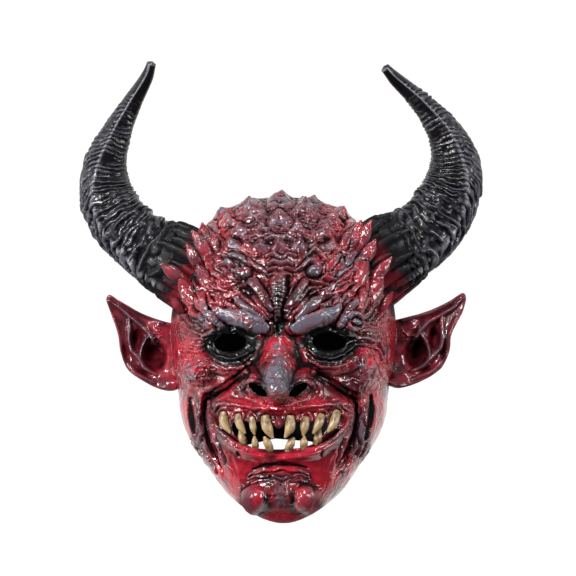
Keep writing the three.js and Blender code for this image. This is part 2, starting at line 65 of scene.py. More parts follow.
# The moulded skin, with the sizes that the solids have
WALL = 3.2
FIT_GAP = 0.3
RIM_BACK = (-122.5, 0.0)
RIM_CHIN = (-205.0, 176.0)
MIDLINE_X = 1.5
FACE_SQUARENESS = 2.25

# Head from the crown down: height, half width, depth of the face, of the back and of the sides
STATIONS = np.array([
    [86, 0, 106, 106, 106],
    [84.5, 22, 122, 86, 106],
    [80.5, 38, 137, 62, 106],
    [74, 53, 152, 38, 107],
    [63, 66, 166, 15, 107],
    [45, 80, 178, -1, 108],
    [22, 91, 188, -5, 108],
    [-5, 98, 195, -6, 108],
    [-32, 101, 198, -6, 108],
    [-60, 99, 196, -5, 108],
    [-85, 94.5, 196, -1, 109],
    [-108, 92, 199, 6, 111],
    [-128, 85, 201, 16, 114],
    [-146, 73, 200.5, 30, 119],
    [-162, 62, 200, 50, 126],
    [-177, 50.5, 198.5, 76, 136],
    [-190, 34, 192, 106, 148],
    [-199, 17.5, 182, 136, 158],
    [-203.5, 0, 166, 166, 166],
])


# Number helpers


def clamp01(t):
    return np.clip(t, 0.0, 1.0)


def ease(t):
    t = clamp01(t)
    return t * t * (3 - 2 * t)


def dome(r):
    return np.where(r < 1, (1 - np.minimum(r, 1) ** 2) ** 2, 0.0)


def between(rows, t):
    """Smooth values between the rows of a table, t running from 0 to 1 over it."""
    rows = np.asarray(rows, float)
    last = len(rows) - 1
    place = clamp01(np.asarray(t, float)) * last
    i = np.minimum(last - 1, np.floor(place)).astype(int)
    f = place - i
    if rows.ndim > 1:
        f = f[:, None]
    before, here = rows[np.maximum(0, i - 1)], rows[i]
    after, beyond = rows[i + 1], rows[np.minimum(last, i + 2)]
    slope_in, slope_out = (after - before) / 2, (beyond - here) / 2
    return (
        (2 * f**3 - 3 * f**2 + 1) * here
        + (f**3 - 2 * f**2 + f) * slope_in
        + (3 * f**2 - 2 * f**3) * after
        + (f**3 - f**2) * slope_out
    )


LEVELS = np.linspace(0, 1, 2000)
HEIGHTS = between(STATIONS[:, 0], LEVELS)


def station_at(y):
    """Where a height lies in the table of stations, from 0 to 1."""
    return np.interp(-np.asarray(y, float), -HEIGHTS, LEVELS)


def to_line(x, y, line):
    """Distance to a drawn line, and how far along the line the nearest point lies, from 0 to 1."""
    best = np.full(x.shape, np.inf)
    at = np.zeros(x.shape)
    parts = len(line) - 1
    for i in range(parts):
        (ax, ay), (bx, by) = line[i], line[i + 1]
        dx, dy = bx - ax, by - ay
        f = clamp01(((x - ax) * dx + (y - ay) * dy) / (dx * dx + dy * dy))
        d = np.hypot(x - ax - f * dx, y - ay - f * dy)
        nearer = d < best
        best = np.where(nearer, d, best)
        at = np.where(nearer, (i + f) / parts, at)
    return best, at


def lump(x, y, form):
    """A round form: centre, half sizes, turn in degrees and height."""
    cx, cy, rx, ry, turn, height = form
    a = math.radians(turn)
    u = ((x - cx) * math.cos(a) + (y - cy) * math.sin(a)) / rx
    v = ((y - cy) * math.cos(a) - (x - cx) * math.sin(a)) / ry
    return height * dome(np.hypot(u, v))


def near_line(x, y, line, reach):
    """Which points lie within reach of a drawn line, with their distances to it and places along it."""
    xs, ys = [p[0] for p in line], [p[1] for p in line]
    near = (x > min(xs) - reach) & (x < max(xs) + reach) & (y > min(ys) - reach) & (y < max(ys) + reach)
    return near, *to_line(x[near], y[near], line)


def cord(x, y, form):
    """A cord-like form along a line: points, then half widths and heights at even steps along it."""
    line, widths, heights = form
    near, d, t = near_line(x, y, line, max(widths) + 1)
    out = np.zeros(x.shape)
    out[near] = between(heights, t) * dome(d / np.maximum(0.5, between(widths, t)))
    return out


def plateau(x, y, form):
    """A cord-like form with a flat top."""
    line, widths, heights = form
    d, t = to_line(x, y, line)
    return between(heights, t) * dome((d / between(widths, t)) ** 2)


def highest(x, y, forms, shape):
    return np.maximum.reduce([np.zeros(x.shape)] + [shape(x, y, form) for form in forms])


def lowest(x, y, forms, shape):
    return np.minimum.reduce([np.zeros(x.shape)] + [shape(x, y, form) for form in forms])


def zone(x, y, forms):
    """How strongly the round zones of a table cover the points, from 0 to 1."""
    return np.minimum(1, 1.3 * highest(x, y, forms, lump))


def lattice(i, j, k, seed):
    """Repeatable random values from 0 to 1 on a grid."""
    n = (i * 73856093) ^ (j * 19349663) ^ (k * 83492791) ^ (seed * 2654435761)
    n = (n ^ (n >> 13)) * 1274126177
    n = n ^ (n >> 16)
    return (n & 0xFFFFF) / 0xFFFFF


def noise(points, size, seed):
    """Smooth noise from -1 to 1 with lumps of about the given size."""
    p = points / size
    base = np.floor(p).astype(np.int64)
    f = p - base
    f = f * f * f * (f * (f * 6 - 15) + 10)
    total = 0
    for corner in range(8):
        step = [(corner >> axis) & 1 for axis in range(3)]
        weight = 1
        for axis in range(3):
            weight = weight * (f[:, axis] if step[axis] else 1 - f[:, axis])
        i, j, k = (base + step).T
        total = total + weight * lattice(i, j, k, seed)
    return total * 2 - 1


# Forms of the face in front view, as the solid has them. Those of one list overlap without piling up.
MASSES = [
    (-1, -112, 72, 54, 0, 9), (-80, -68, 21, 19, 20, 12), (78, -68, 21, 19, -20, 12),
    (-1, -180, 34, 20, 0, 6), (-24, -181, 15, 14, 0, 8), (23, -181, 15, 14, 0, 8), (0, 10, 74, 52, 0, 7),
    (-68, -14, 20, 34, 20, 6), (68, -14, 20, 34, -20, 6),
]
BROWS = [
    ([(-9, -30), (-30, -22), (-60, -11)], [8, 10, 7], [7, 9, 4]),
    ([(9, -30), (28, -22), (54, -10)], [8, 10, 7], [7, 9, 4]),
    ([(-14, -22), (-26, -12), (-39, -1)], [5, 7, 4], [7, 8, 3]),
    ([(9, -22), (22, -12), (37, -2)], [5, 7, 4], [7, 8, 3]),
    ([(-9, -20), (-17, -8), (-25, 8)], [4, 6, 4], [6, 7, 3]),
    ([(5, -20), (13, -8), (22, 6)], [4, 6, 4], [6, 7, 3]),
    ([(-1, 14), (-2, -8), (-3, -28)], [7, 6, 3], [5, 6, 5]),
    ([(-72, -6), (-66, -20), (-60, -30), (-48, -32)], [7, 8, 7, 4], [6, 7, 6, 2]),
    ([(72, -4), (64, -18), (58, -30), (48, -32)], [7, 9, 8, 4], [6, 8, 7, 2]),
]
SOCKETS = [(-44, -45, 31, 17, 4, -13), (43, -44, 31, 17, -4, -13)]
LIDS = [
    ([(-62, -44), (-55, -53), (-45, -56), (-33, -54), (-26, -47)], [4, 6, 6, 6, 4], [2, 5, 6, 5, 2]),
    ([(62, -42), (53, -52), (40, -56), (31, -53), (24, -46)], [4, 6, 6, 6, 4], [2, 5, 6, 5, 2]),
]
BAGS = [
    ([(-74, -52), (-60, -63), (-42, -66), (-30, -60)], [6, 8, 8, 5], [4, 6, 6, 2]),
    ([(74, -50), (60, -62), (42, -66), (28, -60)], [6, 8, 8, 5], [4, 6, 6, 2]),
]
NOSE = [
    ([(-1, -34), (-2, -50), (-3, -66), (-4, -80)], [12, 18, 23, 26], [5, 16, 28, 34]),
    ([(-4, -70), (-4, -80)], [23, 24], [33, 40]), ([(-24, -76), (-20, -83)], [15, 13], [24, 20]),
    ([(17, -76), (13, -83)], [15, 13], [24, 20]),
]
CREASES = [
    (
        [(-34, -70), (-48, -83), (-64, -92), (-67, -108), (-64, -128), (-55, -147), (-47, -162)],
        [5, 6, 7, 7, 7, 6, 4],
        [-5, -8, -10, -10, -9, -7, -2],
    ),
    (
        [(31, -70), (48, -83), (63, -92), (66, -108), (63, -126), (54, -146), (46, -160)],
        [5, 6, 7, 7, 7, 6, 4],
        [-5, -8, -10, -10, -9, -7, -2],
    ),
    (
        [(-50, -121), (-38, -131), (-22, -136), (0, -137.5), (20, -136), (36, -130), (48, -121)],
        [3, 4.5, 5, 5, 5, 4.5, 3],
        [-2, -5, -6, -6, -6, -5, -2],
    ),
]
LIPS = [
    (
        [(-60, -99), (-46, -97), (-25, -99), (0, -100), (25, -99), (46, -97), (60, -98)],
        [4, 6, 6, 7, 6, 6, 4],
        [2, 5, 6, 7, 6, 5, 2],
    ),
    (
        [(-59, -112), (-48, -130), (-30, -139), (0, -143), (30, -139), (48, -129), (58, -112)],
        [4, 6, 7, 8, 7, 6, 4],
        [2, 5, 7, 8, 7, 5, 2],
    ),
]


def relief(x, y):
    """How far the face's main forms stand out of the plain head."""
    mass = sum(lump(x, y, form) for form in MASSES)
    raised = np.maximum.reduce([highest(x, y, forms, cord) for forms in (NOSE, BAGS, LIPS)])
    raised = np.maximum(raised, highest(x, y, BROWS, plateau))
    sunk = lowest(x, y, SOCKETS, lump) + lowest(x, y, CREASES, cord)
    return mass + raised + sunk + highest(x, y, LIDS, cord)


def as_seen(co):
    """Where points of the mask lie in the photograph, in its own millimetres."""
    scale = 1 / (1 + (FACE_PLANE - co[:, 2]) / CAMERA_ABOVE_FACE)
    x, y = (over + (co[:, axis] - over) * scale for axis, over in enumerate(CAMERA_OVER))
    return x, y


# Full forms with a crease round them, as seen: points, half widths along them, height and rubbed grey
LEFT_BROW = [
    ([(-62, -10), (-54, -19), (-44, -26)], [1.2, 2, 1.2], 2.0, 0.3),
    ([(-50, -7), (-42, -12), (-30, -18)], [1.2, 2.2, 1.2], 2.0, 0.1),
    ([(-55, -12), (-46, -15), (-36, -19)], [1.2, 2.0, 1.2], 2.0, 0.2),
    ([(-34, -3), (-26, -9), (-18, -17), (-12, -24)], [1.2, 2.0, 2.0, 1.2], 3.0, 0.0),
    ([(-30, 1), (-22, -6), (-15, -14), (-10, -21)], [1.2, 1.9, 1.9, 1.0], 2.6, 0.0),
    ([(-11, 4), (-9, -5), (-6, -17)], [1.4, 1.9, 1.2], 2.6, 0.2),
    ([(-24, 9), (-19, 2), (-14, -6), (-9, -16)], [4.0, 4.2, 3.2, 1.8], 3.6, 0.25),
    ([(-71, -8), (-66, -15), (-60, -22), (-52, -29), (-42, -33)], [2, 3.5, 3.5, 3, 2], 3.5, 0.8),
    ([(-69, -38), (-61, -34), (-50, -32), (-38, -33), (-26, -36)], [1.5, 2.3, 2.3, 2.3, 1.5], 2.5, 0.6),
]
RIGHT_BROW = [
    ([(34, -12), (42, -7), (48, -2)], [1.2, 1.9, 1.2], 2.2, 0.1),
    ([(56, -4), (52, -10), (50, -18)], [1.2, 1.9, 1.2], 2.2, 0.3),
    ([(11, -18), (17, -11), (24, -4), (30, 2)], [1.2, 2.0, 2.0, 1.2], 3.0, 0.0),
    ([(9, -14), (14, -7), (20, 0), (26, 6)], [1.2, 1.9, 1.9, 1.0], 2.6, 0.0),
    ([(3, -13), (5, -4), (9, 5)], [1.2, 1.9, 1.4], 2.6, 0.2),
    ([(4, -16), (9, -7), (14, 1), (20, 9)], [1.8, 3.2, 4.2, 4.0], 3.6, 0.25),
    ([(66, -8), (60, -14), (55, -21), (52, -28), (47, -33)], [2, 3, 3, 3, 2], 3.5, 0.8),
    ([(28, -36), (38, -33), (49, -32.5), (58, -35), (66, -39)], [1.5, 2.3, 2.3, 2.3, 1.5], 2.5, 0.6),
    ([(59, -21), (62, -18), (67, -18), (71, -22), (71, -27), (67, -31), (62, -31), (59, -27)], [2, 2], 2.5,
     0.5),
    ([(64, -24), (66, -25)], [2.6, 2.6], 3.0, 0.5),
]
# Flat-topped petals over the eyes, with raised rims
PETALS = [
    ([(-41, -3), (-35, -10), (-28, -16), (-17, -24)], [1.5, 3.6, 4.2, 2.8], 3.4, 0.9),
    ([(-56, -15), (-46, -19.5), (-34, -24), (-22, -28), (-14, -30)], [3, 6.4, 8, 7.4, 4], 3.6, 1.0),
    ([(14, -22), (20, -16), (27, -9.5), (34, -3)], [2.8, 4.2, 4.0, 1.5], 3.4, 0.9),
    ([(11, -30), (20, -28), (32, -23.5), (42, -18.5), (50, -13)], [4, 7.6, 8, 6.6, 3], 3.6, 1.0),
]
FOREHEAD = [
    ([(-12, 15), (-5, 17.5), (1, 17.5), (8, 15)], [1.2, 1.8, 1.8, 1.2], 2.6, 0.3),
    ([(-14, 19), (-7, 22), (-1, 21), (5, 22), (11, 19)], [1.2, 1.9, 1.9, 1.9, 1.2], 2.8, 0.2),
    ([(-12, 25), (-7, 28), (-1, 26.5), (5, 28), (10, 25)], [1.2, 2.0, 2.0, 2.0, 1.2], 3.0, 0.4),
    ([(-13, 33), (-6, 34), (0, 31), (6, 34), (12, 33)], [1.2, 1.6, 1.6, 1.6, 1.2], 2.0, 0.3),
    ([(-14, 46), (-7, 49), (-1, 47), (5, 49), (12, 45)], [1.4, 2.0, 2.0, 2.0, 1.4], 3.2, 0.4),
    ([(-50, 31), (-42, 33), (-34, 31), (-27, 26)], [1.5, 2.6, 2.6, 1.5], 3.0, 0.6),
    ([(-52, 24), (-45, 26), (-38, 24)], [1.5, 2.8, 2.0], 3.0, 0.6),
    ([(-48, 18), (-43, 21), (-38, 18)], [1.5, 2.4, 2.0], 2.6, 0.5),
    ([(-28, 30), (-24, 24), (-17, 20), (-13, 16)], [1.4, 2.2, 2.2, 1.2], 2.8, 0.2),
    ([(13, 20), (18, 24), (24, 29), (29, 28), (34, 22)], [1.4, 2.4, 2.6, 2.4, 1.4], 3.5, 0.5),
    ([(22, 33), (28, 38), (34, 35), (40, 28)], [1.2, 1.8, 1.8, 1.2], 2.6, 0.3),
    ([(-36, 17), (-31, 18)], [5.0, 5.5], 4.5, 0.7), ([(27, 19.5), (29, 19.5)], [5.2, 5.2], 5.0, 0.7),
    ([(-26, 12), (-31, 6), (-40, 2)], [1.5, 2.2, 1.2], 2.4, 0.0),
    ([(-38, 10), (-46, 6), (-55, 5)], [1.5, 2.4, 1.4], 2.6, 0.0),
    ([(22, 13), (30, 9), (40, 8)], [1.5, 2.2, 1.2], 2.4, 0.0),
    ([(36, 14), (44, 12), (52, 12)], [1.5, 2.2, 1.4], 2.6, 0.0),
]
# Flat leaf-like scales at the temples, which point up towards the horns
LEAVES = [
    ([(-59, 2), (-68, 14), (-75, 27)], [3.0, 4.0, 0.8], 3.5, 0.0),
    ([(-66, -12), (-71, 2), (-76, 14)], [2.6, 3.6, 0.8], 3.5, 0.0),
    ([(-64, 36), (-71, 44), (-78, 52)], [2.4, 3.4, 0.8], 3.4, 0.2),
    ([(-70, 26), (-76, 33), (-82, 42)], [2.4, 3.4, 0.8], 3.4, 0.0),
    ([(-62, 16), (-70, 24), (-77, 34)], [2.0, 2.8, 0.8], 3.0, 0.1),
    ([(-82, 12), (-93, 18), (-104, 24)], [3.0, 3.8, 0.8], 3.0, 0.4),
    ([(-86, -14), (-92, -9), (-97, -3)], [2.2, 2.8, 0.8], 2.8, 0.0),
    ([(-70, -24), (-76, -18), (-80, -9)], [2.0, 2.8, 0.8], 2.8, 0.0),
    ([(-78, -28), (-84, -22), (-88, -14)], [1.8, 2.4, 0.8], 2.4, 0.1),
    ([(-54, 42), (-60, 50), (-66, 58)], [2.0, 2.6, 0.8], 2.6, 0.2),
    ([(-50, 12), (-57, 17), (-63, 25)], [2.0, 2.6, 0.8], 2.6, 0.1),
    ([(-48, 2), (-56, 3), (-64, 8)], [1.8, 2.4, 0.8], 2.4, 0.0),
    ([(64, 2), (70, 16), (75, 33)], [3.0, 4.2, 0.8], 3.5, 0.5),
    ([(69, -12), (72, 2), (74, 16)], [2.6, 3.6, 0.8], 3.5, 0.0),
    ([(66, 41), (73, 52), (78, 63)], [2.4, 3.2, 0.8], 3.2, 0.0),
    ([(71, 30), (77, 38), (81, 46)], [2.4, 3.4, 0.8], 3.4, 0.0),
    ([(62, 20), (68, 30), (73, 40)], [2.0, 3.0, 0.8], 3.0, 0.2),
    ([(78, 15), (86, 23), (93, 31)], [2.0, 2.6, 0.8], 3.0, 0.0),
    ([(88, -12), (93, -6), (97, 2)], [2.2, 2.8, 0.8], 2.8, 0.0),
    ([(72, -22), (78, -15), (82, -6)], [2.0, 2.8, 0.8], 2.8, 0.0),
    ([(80, -26), (86, -20), (90, -12)], [1.8, 2.4, 0.8], 2.4, 0.1),
    ([(52, 44), (59, 52), (65, 60)], [2.0, 2.6, 0.8], 2.6, 0.2),
    ([(50, 10), (57, 14), (63, 22)], [2.0, 2.6, 0.8], 2.6, 0.1),
    ([(46, 0), (54, 2), (62, 8)], [1.8, 2.4, 0.8], 2.4, 0.0),
]
EYE_FOLDS = [
    ([(-62, -43), (-56, -50.5), (-45, -53.5), (-34, -51.5), (-28, -45)], [1.0, 1.3, 1.3, 1.3, 1.0], 1.8,
     0.4),
    ([(-65, -47), (-56, -55), (-45, -57.5), (-33, -55.5), (-25, -49)], [1.0, 1.4, 1.4, 1.4, 1.0], 1.8, 0.3),
    ([(-64, -53), (-54, -59.5), (-44, -61.5), (-33, -60), (-25, -54)], [1.0, 1.4, 1.4, 1.4, 1.0], 1.8, 0.1),
    ([(-58, -61), (-47, -65), (-36, -65), (-27, -60)], [1.0, 1.4, 1.4, 1.0], 1.6, 0.0),
    ([(-66, -38), (-76, -34), (-86, -29)], [0.8, 1.3, 0.8], 1.1, 0.2),
    ([(-67, -41), (-78, -39), (-89, -36)], [0.8, 1.3, 0.8], 1.1, 0.1),
    ([(-67, -45), (-78, -45), (-89, -43)], [0.8, 1.3, 0.8], 1.1, 0.1),
    ([(-67, -49), (-77, -51), (-87, -50)], [0.8, 1.3, 0.8], 1.1, 0.1),
    ([(-70, -31), (-78, -26), (-86, -20)], [0.8, 1.3, 0.8], 1.1, 0.3),
    ([(61, -41), (54, -49.5), (41, -53), (30, -51), (25, -45)], [1.0, 1.3, 1.3, 1.3, 1.0], 1.8, 0.4),
    ([(64, -45), (54, -54), (41, -57), (30, -55), (23, -49)], [1.0, 1.4, 1.4, 1.4, 1.0], 1.8, 0.3),
    ([(62, -52), (52, -59), (41, -61), (30, -59.5), (22, -54)], [1.0, 1.4, 1.4, 1.4, 1.0], 1.8, 0.1),
    ([(56, -61), (45, -65), (34, -64), (24, -59)], [1.0, 1.4, 1.4, 1.0], 1.6, 0.0),
    ([(63, -39), (74, -39), (85, -42), (90, -52), (88, -60)], [1.0, 1.8, 1.8, 1.8, 1.0], 2.4, 0.5),
    ([(66, -45), (76, -45), (84, -49), (87, -57)], [1.0, 1.5, 1.5, 1.0], 1.8, 0.2),
    ([(66, -34), (76, -32), (87, -33)], [0.8, 1.3, 0.8], 1.1, 0.2),
    ([(71, -27), (80, -25), (88, -26)], [0.8, 1.3, 0.8], 1.1, 0.1),
]
NOSE_FOLDS = [
    ([(-34, -83), (-32, -77), (-25, -75.5), (-15, -80)], [1.4, 2.4, 2.4, 1.4], 1.6, 0.0),
    ([(28, -83), (26, -77), (19, -75.5), (9, -80)], [1.4, 2.4, 2.4, 1.4], 1.6, 0.0),
    ([(-30, -68), (-38, -74), (-50, -82), (-61, -88)], [1.2, 2.0, 2.0, 1.4], 2.4, 0.0),
    ([(27, -68), (37, -75), (49, -82), (60, -87)], [1.2, 2.0, 2.0, 1.4], 2.4, 0.0),
]
JOWL_MIDDLE = -1
JOWL_FOLDS = [
    ([(-72, -98), (-73, -106), (-71, -114)], [0.8, 2.0, 0.8], 2.2, 0.4),
    ([(-73, -112), (-70, -122), (-71, -132)], [0.8, 2.2, 0.8], 2.6, 0.5),
    ([(-68, -124), (-65, -134), (-60, -142)], [0.8, 1.8, 0.8], 2.2, 0.3),
    ([(-70, -136), (-64, -147), (-56, -156)], [0.8, 2.0, 0.8], 2.0, 0.4),
    ([(-77, -118), (-76, -130), (-71, -142)], [0.8, 1.8, 0.8], 1.6, 0.3),
]


def mirrored(forms, about):
    """The same forms on the other side of an upright line."""
    return [([(2 * about - x, y) for x, y in form[0]], *form[1:]) for form in forms]


MOUTH_FOLDS = [
    ([(-61, -104), (-54, -96), (-40, -97.5), (-20, -100), (-3, -101), (15, -100), (36, -97.5), (51, -96),
     (59, -103)], [1.2, 1.6, 1.7, 1.7, 1.8, 1.7, 1.7, 1.6, 1.2], 1.8, 0.0),
    ([(-62, -106), (-57, -116), (-50, -124), (-40, -131.5), (-26, -137), (-8, -140.5), (6, -140.5),
     (22, -138), (36, -133), (47, -126), (55, -116), (60, -105)], [1.0, 1.3, 1.5, 1.6, 1.7, 1.7, 1.7, 1.7,
     1.6, 1.5, 1.3, 1.0], 1.6, 0.0),
    ([(-63, -94), (-65, -104), (-62, -118), (-57, -132), (-50, -147)], [1.2, 1.8, 1.8, 1.6, 1.0], 1.8, 0.2),
    ([(61, -92), (62, -104), (60, -118), (55, -132), (48, -147)], [1.2, 1.8, 1.8, 1.6, 1.0], 1.8, 0.2),
] + JOWL_FOLDS + mirrored(JOWL_FOLDS, JOWL_MIDDLE)
CHIN_FOLDS = [
    ([(-28, -158), (-19, -155), (-8, -153), (4, -153), (16, -155), (24, -158)], [1.0, 1.3, 1.6, 1.6, 1.3,
     1.0], 1.5, 0.2),
    ([(-29, -162), (-20, -159), (-12, -158.5)], [0.7, 1.0, 0.8], 1.0, 0.2),
    ([(25, -161), (17, -158.5), (9, -158.5)], [0.7, 1.0, 0.8], 1.0, 0.2),
    ([(-27, -166), (-19, -163), (-11, -163)], [0.7, 0.9, 0.7], 0.8, 0.1),
    ([(23, -165), (16, -163), (9, -163.5)], [0.7, 0.9, 0.7], 0.8, 0.1),
    ([(-9, -159), (0, -161), (7, -159)], [1.2, 1.8, 1.2], 1.2, 0.5),
]
# Soft lobes of the chin
LOBES = [
    ([(-25, -176), (-24, -184)], [10.5, 10.5], [4.4, 3.6]),
    ([(20.5, -175), (20, -184)], [9, 9], [4.4, 3.6]),
]
CLEFT = ([(-2.5, -168), (-2.5, -178), (-1.5, -190)], [9, 11, 10], [-0.4, -2.4, -0.8])
# Trenches as seen: points, half widths, depth
TRENCHES = [
    ([(-33, -70), (-40, -77), (-48, -83), (-58, -88), (-66, -94), (-67, -105), (-66, -118), (-63, -130),
     (-58, -140), (-52, -152)], [0.8, 1.0, 1.2, 1.4, 1.5, 1.4, 1.3, 1.2, 1.0, 0.6], 2.6),
    ([(30, -70), (40, -78), (50, -84), (60, -90), (65, -97), (65, -110), (63, -120), (60, -130), (55, -140),
     (48, -152)], [0.8, 1.0, 1.2, 1.4, 1.5, 1.4, 1.3, 1.2, 1.0, 0.6], 2.6),
    ([(-79.5, -92), (-79, -105), (-77.5, -115), (-76.5, -121)], [1.8, 2.8, 2.8, 1.8], 3.2),
    ([(78, -89), (78.5, -100), (77.5, -110), (75.5, -118), (73.5, -127)], [1.6, 2.6, 2.6, 2.2, 1.6], 3.2),
    ([(-25, -153), (-15, -150), (0, -148.5), (12, -149.5), (22, -152)], [0.8, 1.4, 1.8, 1.4, 0.8], 3.0),
    ([(-38.5, -139), (-36.5, -142)], [1.1, 1.1], 1.6), ([(36, -138), (34.5, -141)], [1.1, 1.1], 1.6),
    ([(-3, -33), (-3, -22), (-6, -10)], [1.4, 1.2, 0.8], 2.5),
    ([(-36, -58), (-28, -66), (-30, -73)], [1.2, 1.6, 1.2], 1.2),
]
# Blunt spikes of the scalp as seen: middle, radius and height
KNOBS = [
    (-1, 81.5, 12, 5.6), (-28, 77.5, 11, 4.4), (27, 78.5, 11, 4.4), (-51, 70.5, 10, 4), (51, 71.5, 10, 4),
    (-24, 72, 12, 6.5), (19, 73, 12, 6.5), (-2, 63, 13, 6.5), (-45, 63, 10, 3.6), (44, 64, 10, 3.6),
    (-37, 54, 10, 4.5), (36, 54, 11, 5), (-16, 57, 9, 3.6), (14, 58, 9, 3.6), (-17, 41, 9, 5.5),
    (-2, 40, 10, 5.5), (14.5, 41, 9, 5.5), (-42, 43, 10, 4), (43, 43, 10, 4), (-60, 57, 9, 3.4),
    (60, 58, 9, 3.4), (-30, 41, 7, 2.6), (29, 41, 7, 2.6), (-56, 45, 8, 3), (57, 46, 8, 3),
]

# Directions in which the fine strands of the skin run, drawn where no fold gives them
GRAIN = [
    [(-50, 74), (-28, 82), (0, 86), (28, 82), (50, 75)],
    [(-62, 56), (-45, 64), (-25, 68), (0, 70), (25, 69), (45, 65), (62, 58)],
    [(-66, 42), (-45, 50), (-20, 52), (0, 53), (20, 52), (45, 51), (66, 44)],
    [(-60, 34), (-40, 32), (-18, 26), (0, 30), (18, 26), (40, 32), (60, 33)],
    [(-78, 15), (-70, -2), (-64, -20)], [(80, 15), (72, -2), (66, -18)], [(-88, 40), (-84, 10), (-80, -15)],
    [(92, 40), (86, 10), (82, -15)], [(-60, 10), (-45, 8), (-30, 16)], [(60, 10), (45, 8), (30, 16)],
    [(-92, -22), (-84, -40), (-90, -60)], [(94, -20), (86, -40), (92, -60)],
    [(-90, -75), (-86, -100), (-80, -125), (-66, -150)], [(92, -75), (88, -100), (82, -125), (66, -150)],
    [(-40, -70), (-55, -76), (-70, -84)], [(38, -70), (55, -76), (70, -84)],
    [(-20, -158), (0, -156), (20, -158)], [(-34, -165), (-30, -180), (-18, -192)],
    [(34, -165), (30, -180), (18, -192)], [(0, -160), (0, -190)], [(-20, -45), (-24, -60), (-34, -70)],
    [(16, -45), (20, -60), (30, -70)],
]


def grain_direction(x, y):
    """Unit direction of the strands at points of the front view."""
    drawn = (BROWS, BAGS, CREASES, EYE_FOLDS, MOUTH_FOLDS, CHIN_FOLDS)
    lines = GRAIN + [form[0] for forms in drawn for form in forms]
    twice_cos, twice_sin = np.zeros(x.shape), np.zeros(x.shape)
    for line in lines:
        for (ax, ay), (bx, by) in zip(line, line[1:]):
            dx, dy = bx - ax, by - ay
            f = clamp01(((x - ax) * dx + (y - ay) * dy) / (dx * dx + dy * dy))
            d2 = (x - ax - f * dx) ** 2 + (y - ay - f * dy) ** 2
            weight = (d2 + 8) ** -2
            angle = 2 * math.atan2(dy, dx)
            twice_cos += weight * math.cos(angle)
            twice_sin += weight * math.sin(angle)
    angle = np.arctan2(twice_sin, twice_cos) / 2
    return np.cos(angle), np.sin(angle)


STRAND_STEPS = 6  # samples each way along a strand
STRAND_REACH = 9.0  # mm from a strand's middle to its end
FIELD_CELL = 3.0  # mm between the stored directions


class Grain:
    """The strands' directions, stored on a grid over the front view."""

    def __init__(self):
        self.x = np.arange(-120, 124, FIELD_CELL)
        self.y = np.arange(-212, 104, FIELD_CELL)
        gx, gy = np.meshgrid(self.x, self.y)
        self.cos, self.sin = grain_direction(gx, gy)

    def at(self, x, y):
        i = np.clip(np.rint((x - self.x[0]) / FIELD_CELL).astype(int), 0, len(self.x) - 1)
        j = np.clip(np.rint((y - self.y[0]) / FIELD_CELL).astype(int), 0, len(self.y) - 1)
        return self.cos[j, i], self.sin[j, i]


GRAIN_FIELD = Grain()


def strands(points, width, seed):
    """Noise drawn out along the grain, from about -1 to 1, with strands of the given width."""
    total = noise(points, width, seed)
    for sign in (-1, 1):
        x, y = points[:, 0].copy(), points[:, 1].copy()
        last = None
        for _ in range(STRAND_STEPS):
            c, s = GRAIN_FIELD.at(x, y)
            if last is not None:
                turn = np.where(c * last[0] + s * last[1] < 0, -1.0, 1.0)
                c, s = c * turn, s * turn
            last = (c, s)
            x += sign * c * STRAND_REACH / STRAND_STEPS
            y += sign * s * STRAND_REACH / STRAND_STEPS
            total += noise(np.column_stack([x, y, points[:, 2]]), width, seed)
    return total / (STRAND_STEPS + 0.5) * 0.9


# Mesh helpers


def made_piece(name, form):
    """The object of a finished bmesh."""
    mesh = bpy.data.meshes.new(name)
    form.to_mesh(mesh)
    form.free()
    piece = bpy.data.objects.new(name, mesh)
    bpy.context.scene.collection.objects.link(piece)
    return piece


def ball(name, around, along):
    """A sphere to sculpt, with its longitude and latitude at each vertex, both from 0 to 1."""
    form = bmesh.new()
    bmesh.ops.create_uvsphere(form, u_segments=around, v_segments=along, radius=1)
    piece = made_piece(name, form)
    co = positions(piece.data)
    longitude = (np.arctan2(co[:, 1], co[:, 0]) / (2 * math.pi)) % 1.0
    latitude = np.arccos(np.clip(co[:, 2], -1, 1)) / math.pi
    return piece, longitude, latitude


def positions(mesh):
    co = np.empty(len(mesh.vertices) * 3, np.float32)
    mesh.vertices.foreach_get("co", co)
    return co.reshape(-1, 3).astype(float)


def set_positions(mesh, co):
    mesh.vertices.foreach_set("co", co.astype(np.float32).ravel())
    mesh.update()


def normals(mesh):
    out = np.empty(len(mesh.vertices) * 3, np.float32)
    mesh.vertex_normals.foreach_get("vector", out)
    return out.reshape(-1, 3).astype(float)


def face_outwards(piece):
    form = bmesh.new()
    form.from_mesh(piece.data)
    bmesh.ops.recalc_face_normals(form, faces=form.faces)
    if form.calc_volume(signed=True) < 0:
        bmesh.ops.reverse_faces(form, faces=form.faces)
    form.to_mesh(piece.data)
    form.free()


def apply_modifiers(piece):
    depsgraph = bpy.context.evaluated_depsgraph_get()
    mesh = bpy.data.meshes.new_from_object(piece.evaluated_get(depsgraph))
    piece.modifiers.clear()
    old = piece.data
    piece.data = mesh
    bpy.data.meshes.remove(old)


def combine(piece, other, operation):
    """Joins or cuts a piece with another, which is used up."""
    step = piece.modifiers.new(operation.lower(), "BOOLEAN")
    step.operation = operation
    step.solver = "MANIFOLD"
    step.object = other
    apply_modifiers(piece)
    mesh = other.data
    bpy.data.objects.remove(other)
    bpy.data.meshes.remove(mesh)


def box_piece(name, low, high):
    form = bmesh.new()
    bmesh.ops.create_cube(form, size=1)
    bmesh.ops.scale(form, vec=[h - l for l, h in zip(low, high)], verts=form.verts)
    bmesh.ops.translate(form, vec=[(h + l) / 2 for l, h in zip(low, high)], verts=form.verts)
    return made_piece(name, form)


SMOOTHING = 0.6  # of the way to the middle of the neighbours, in each round


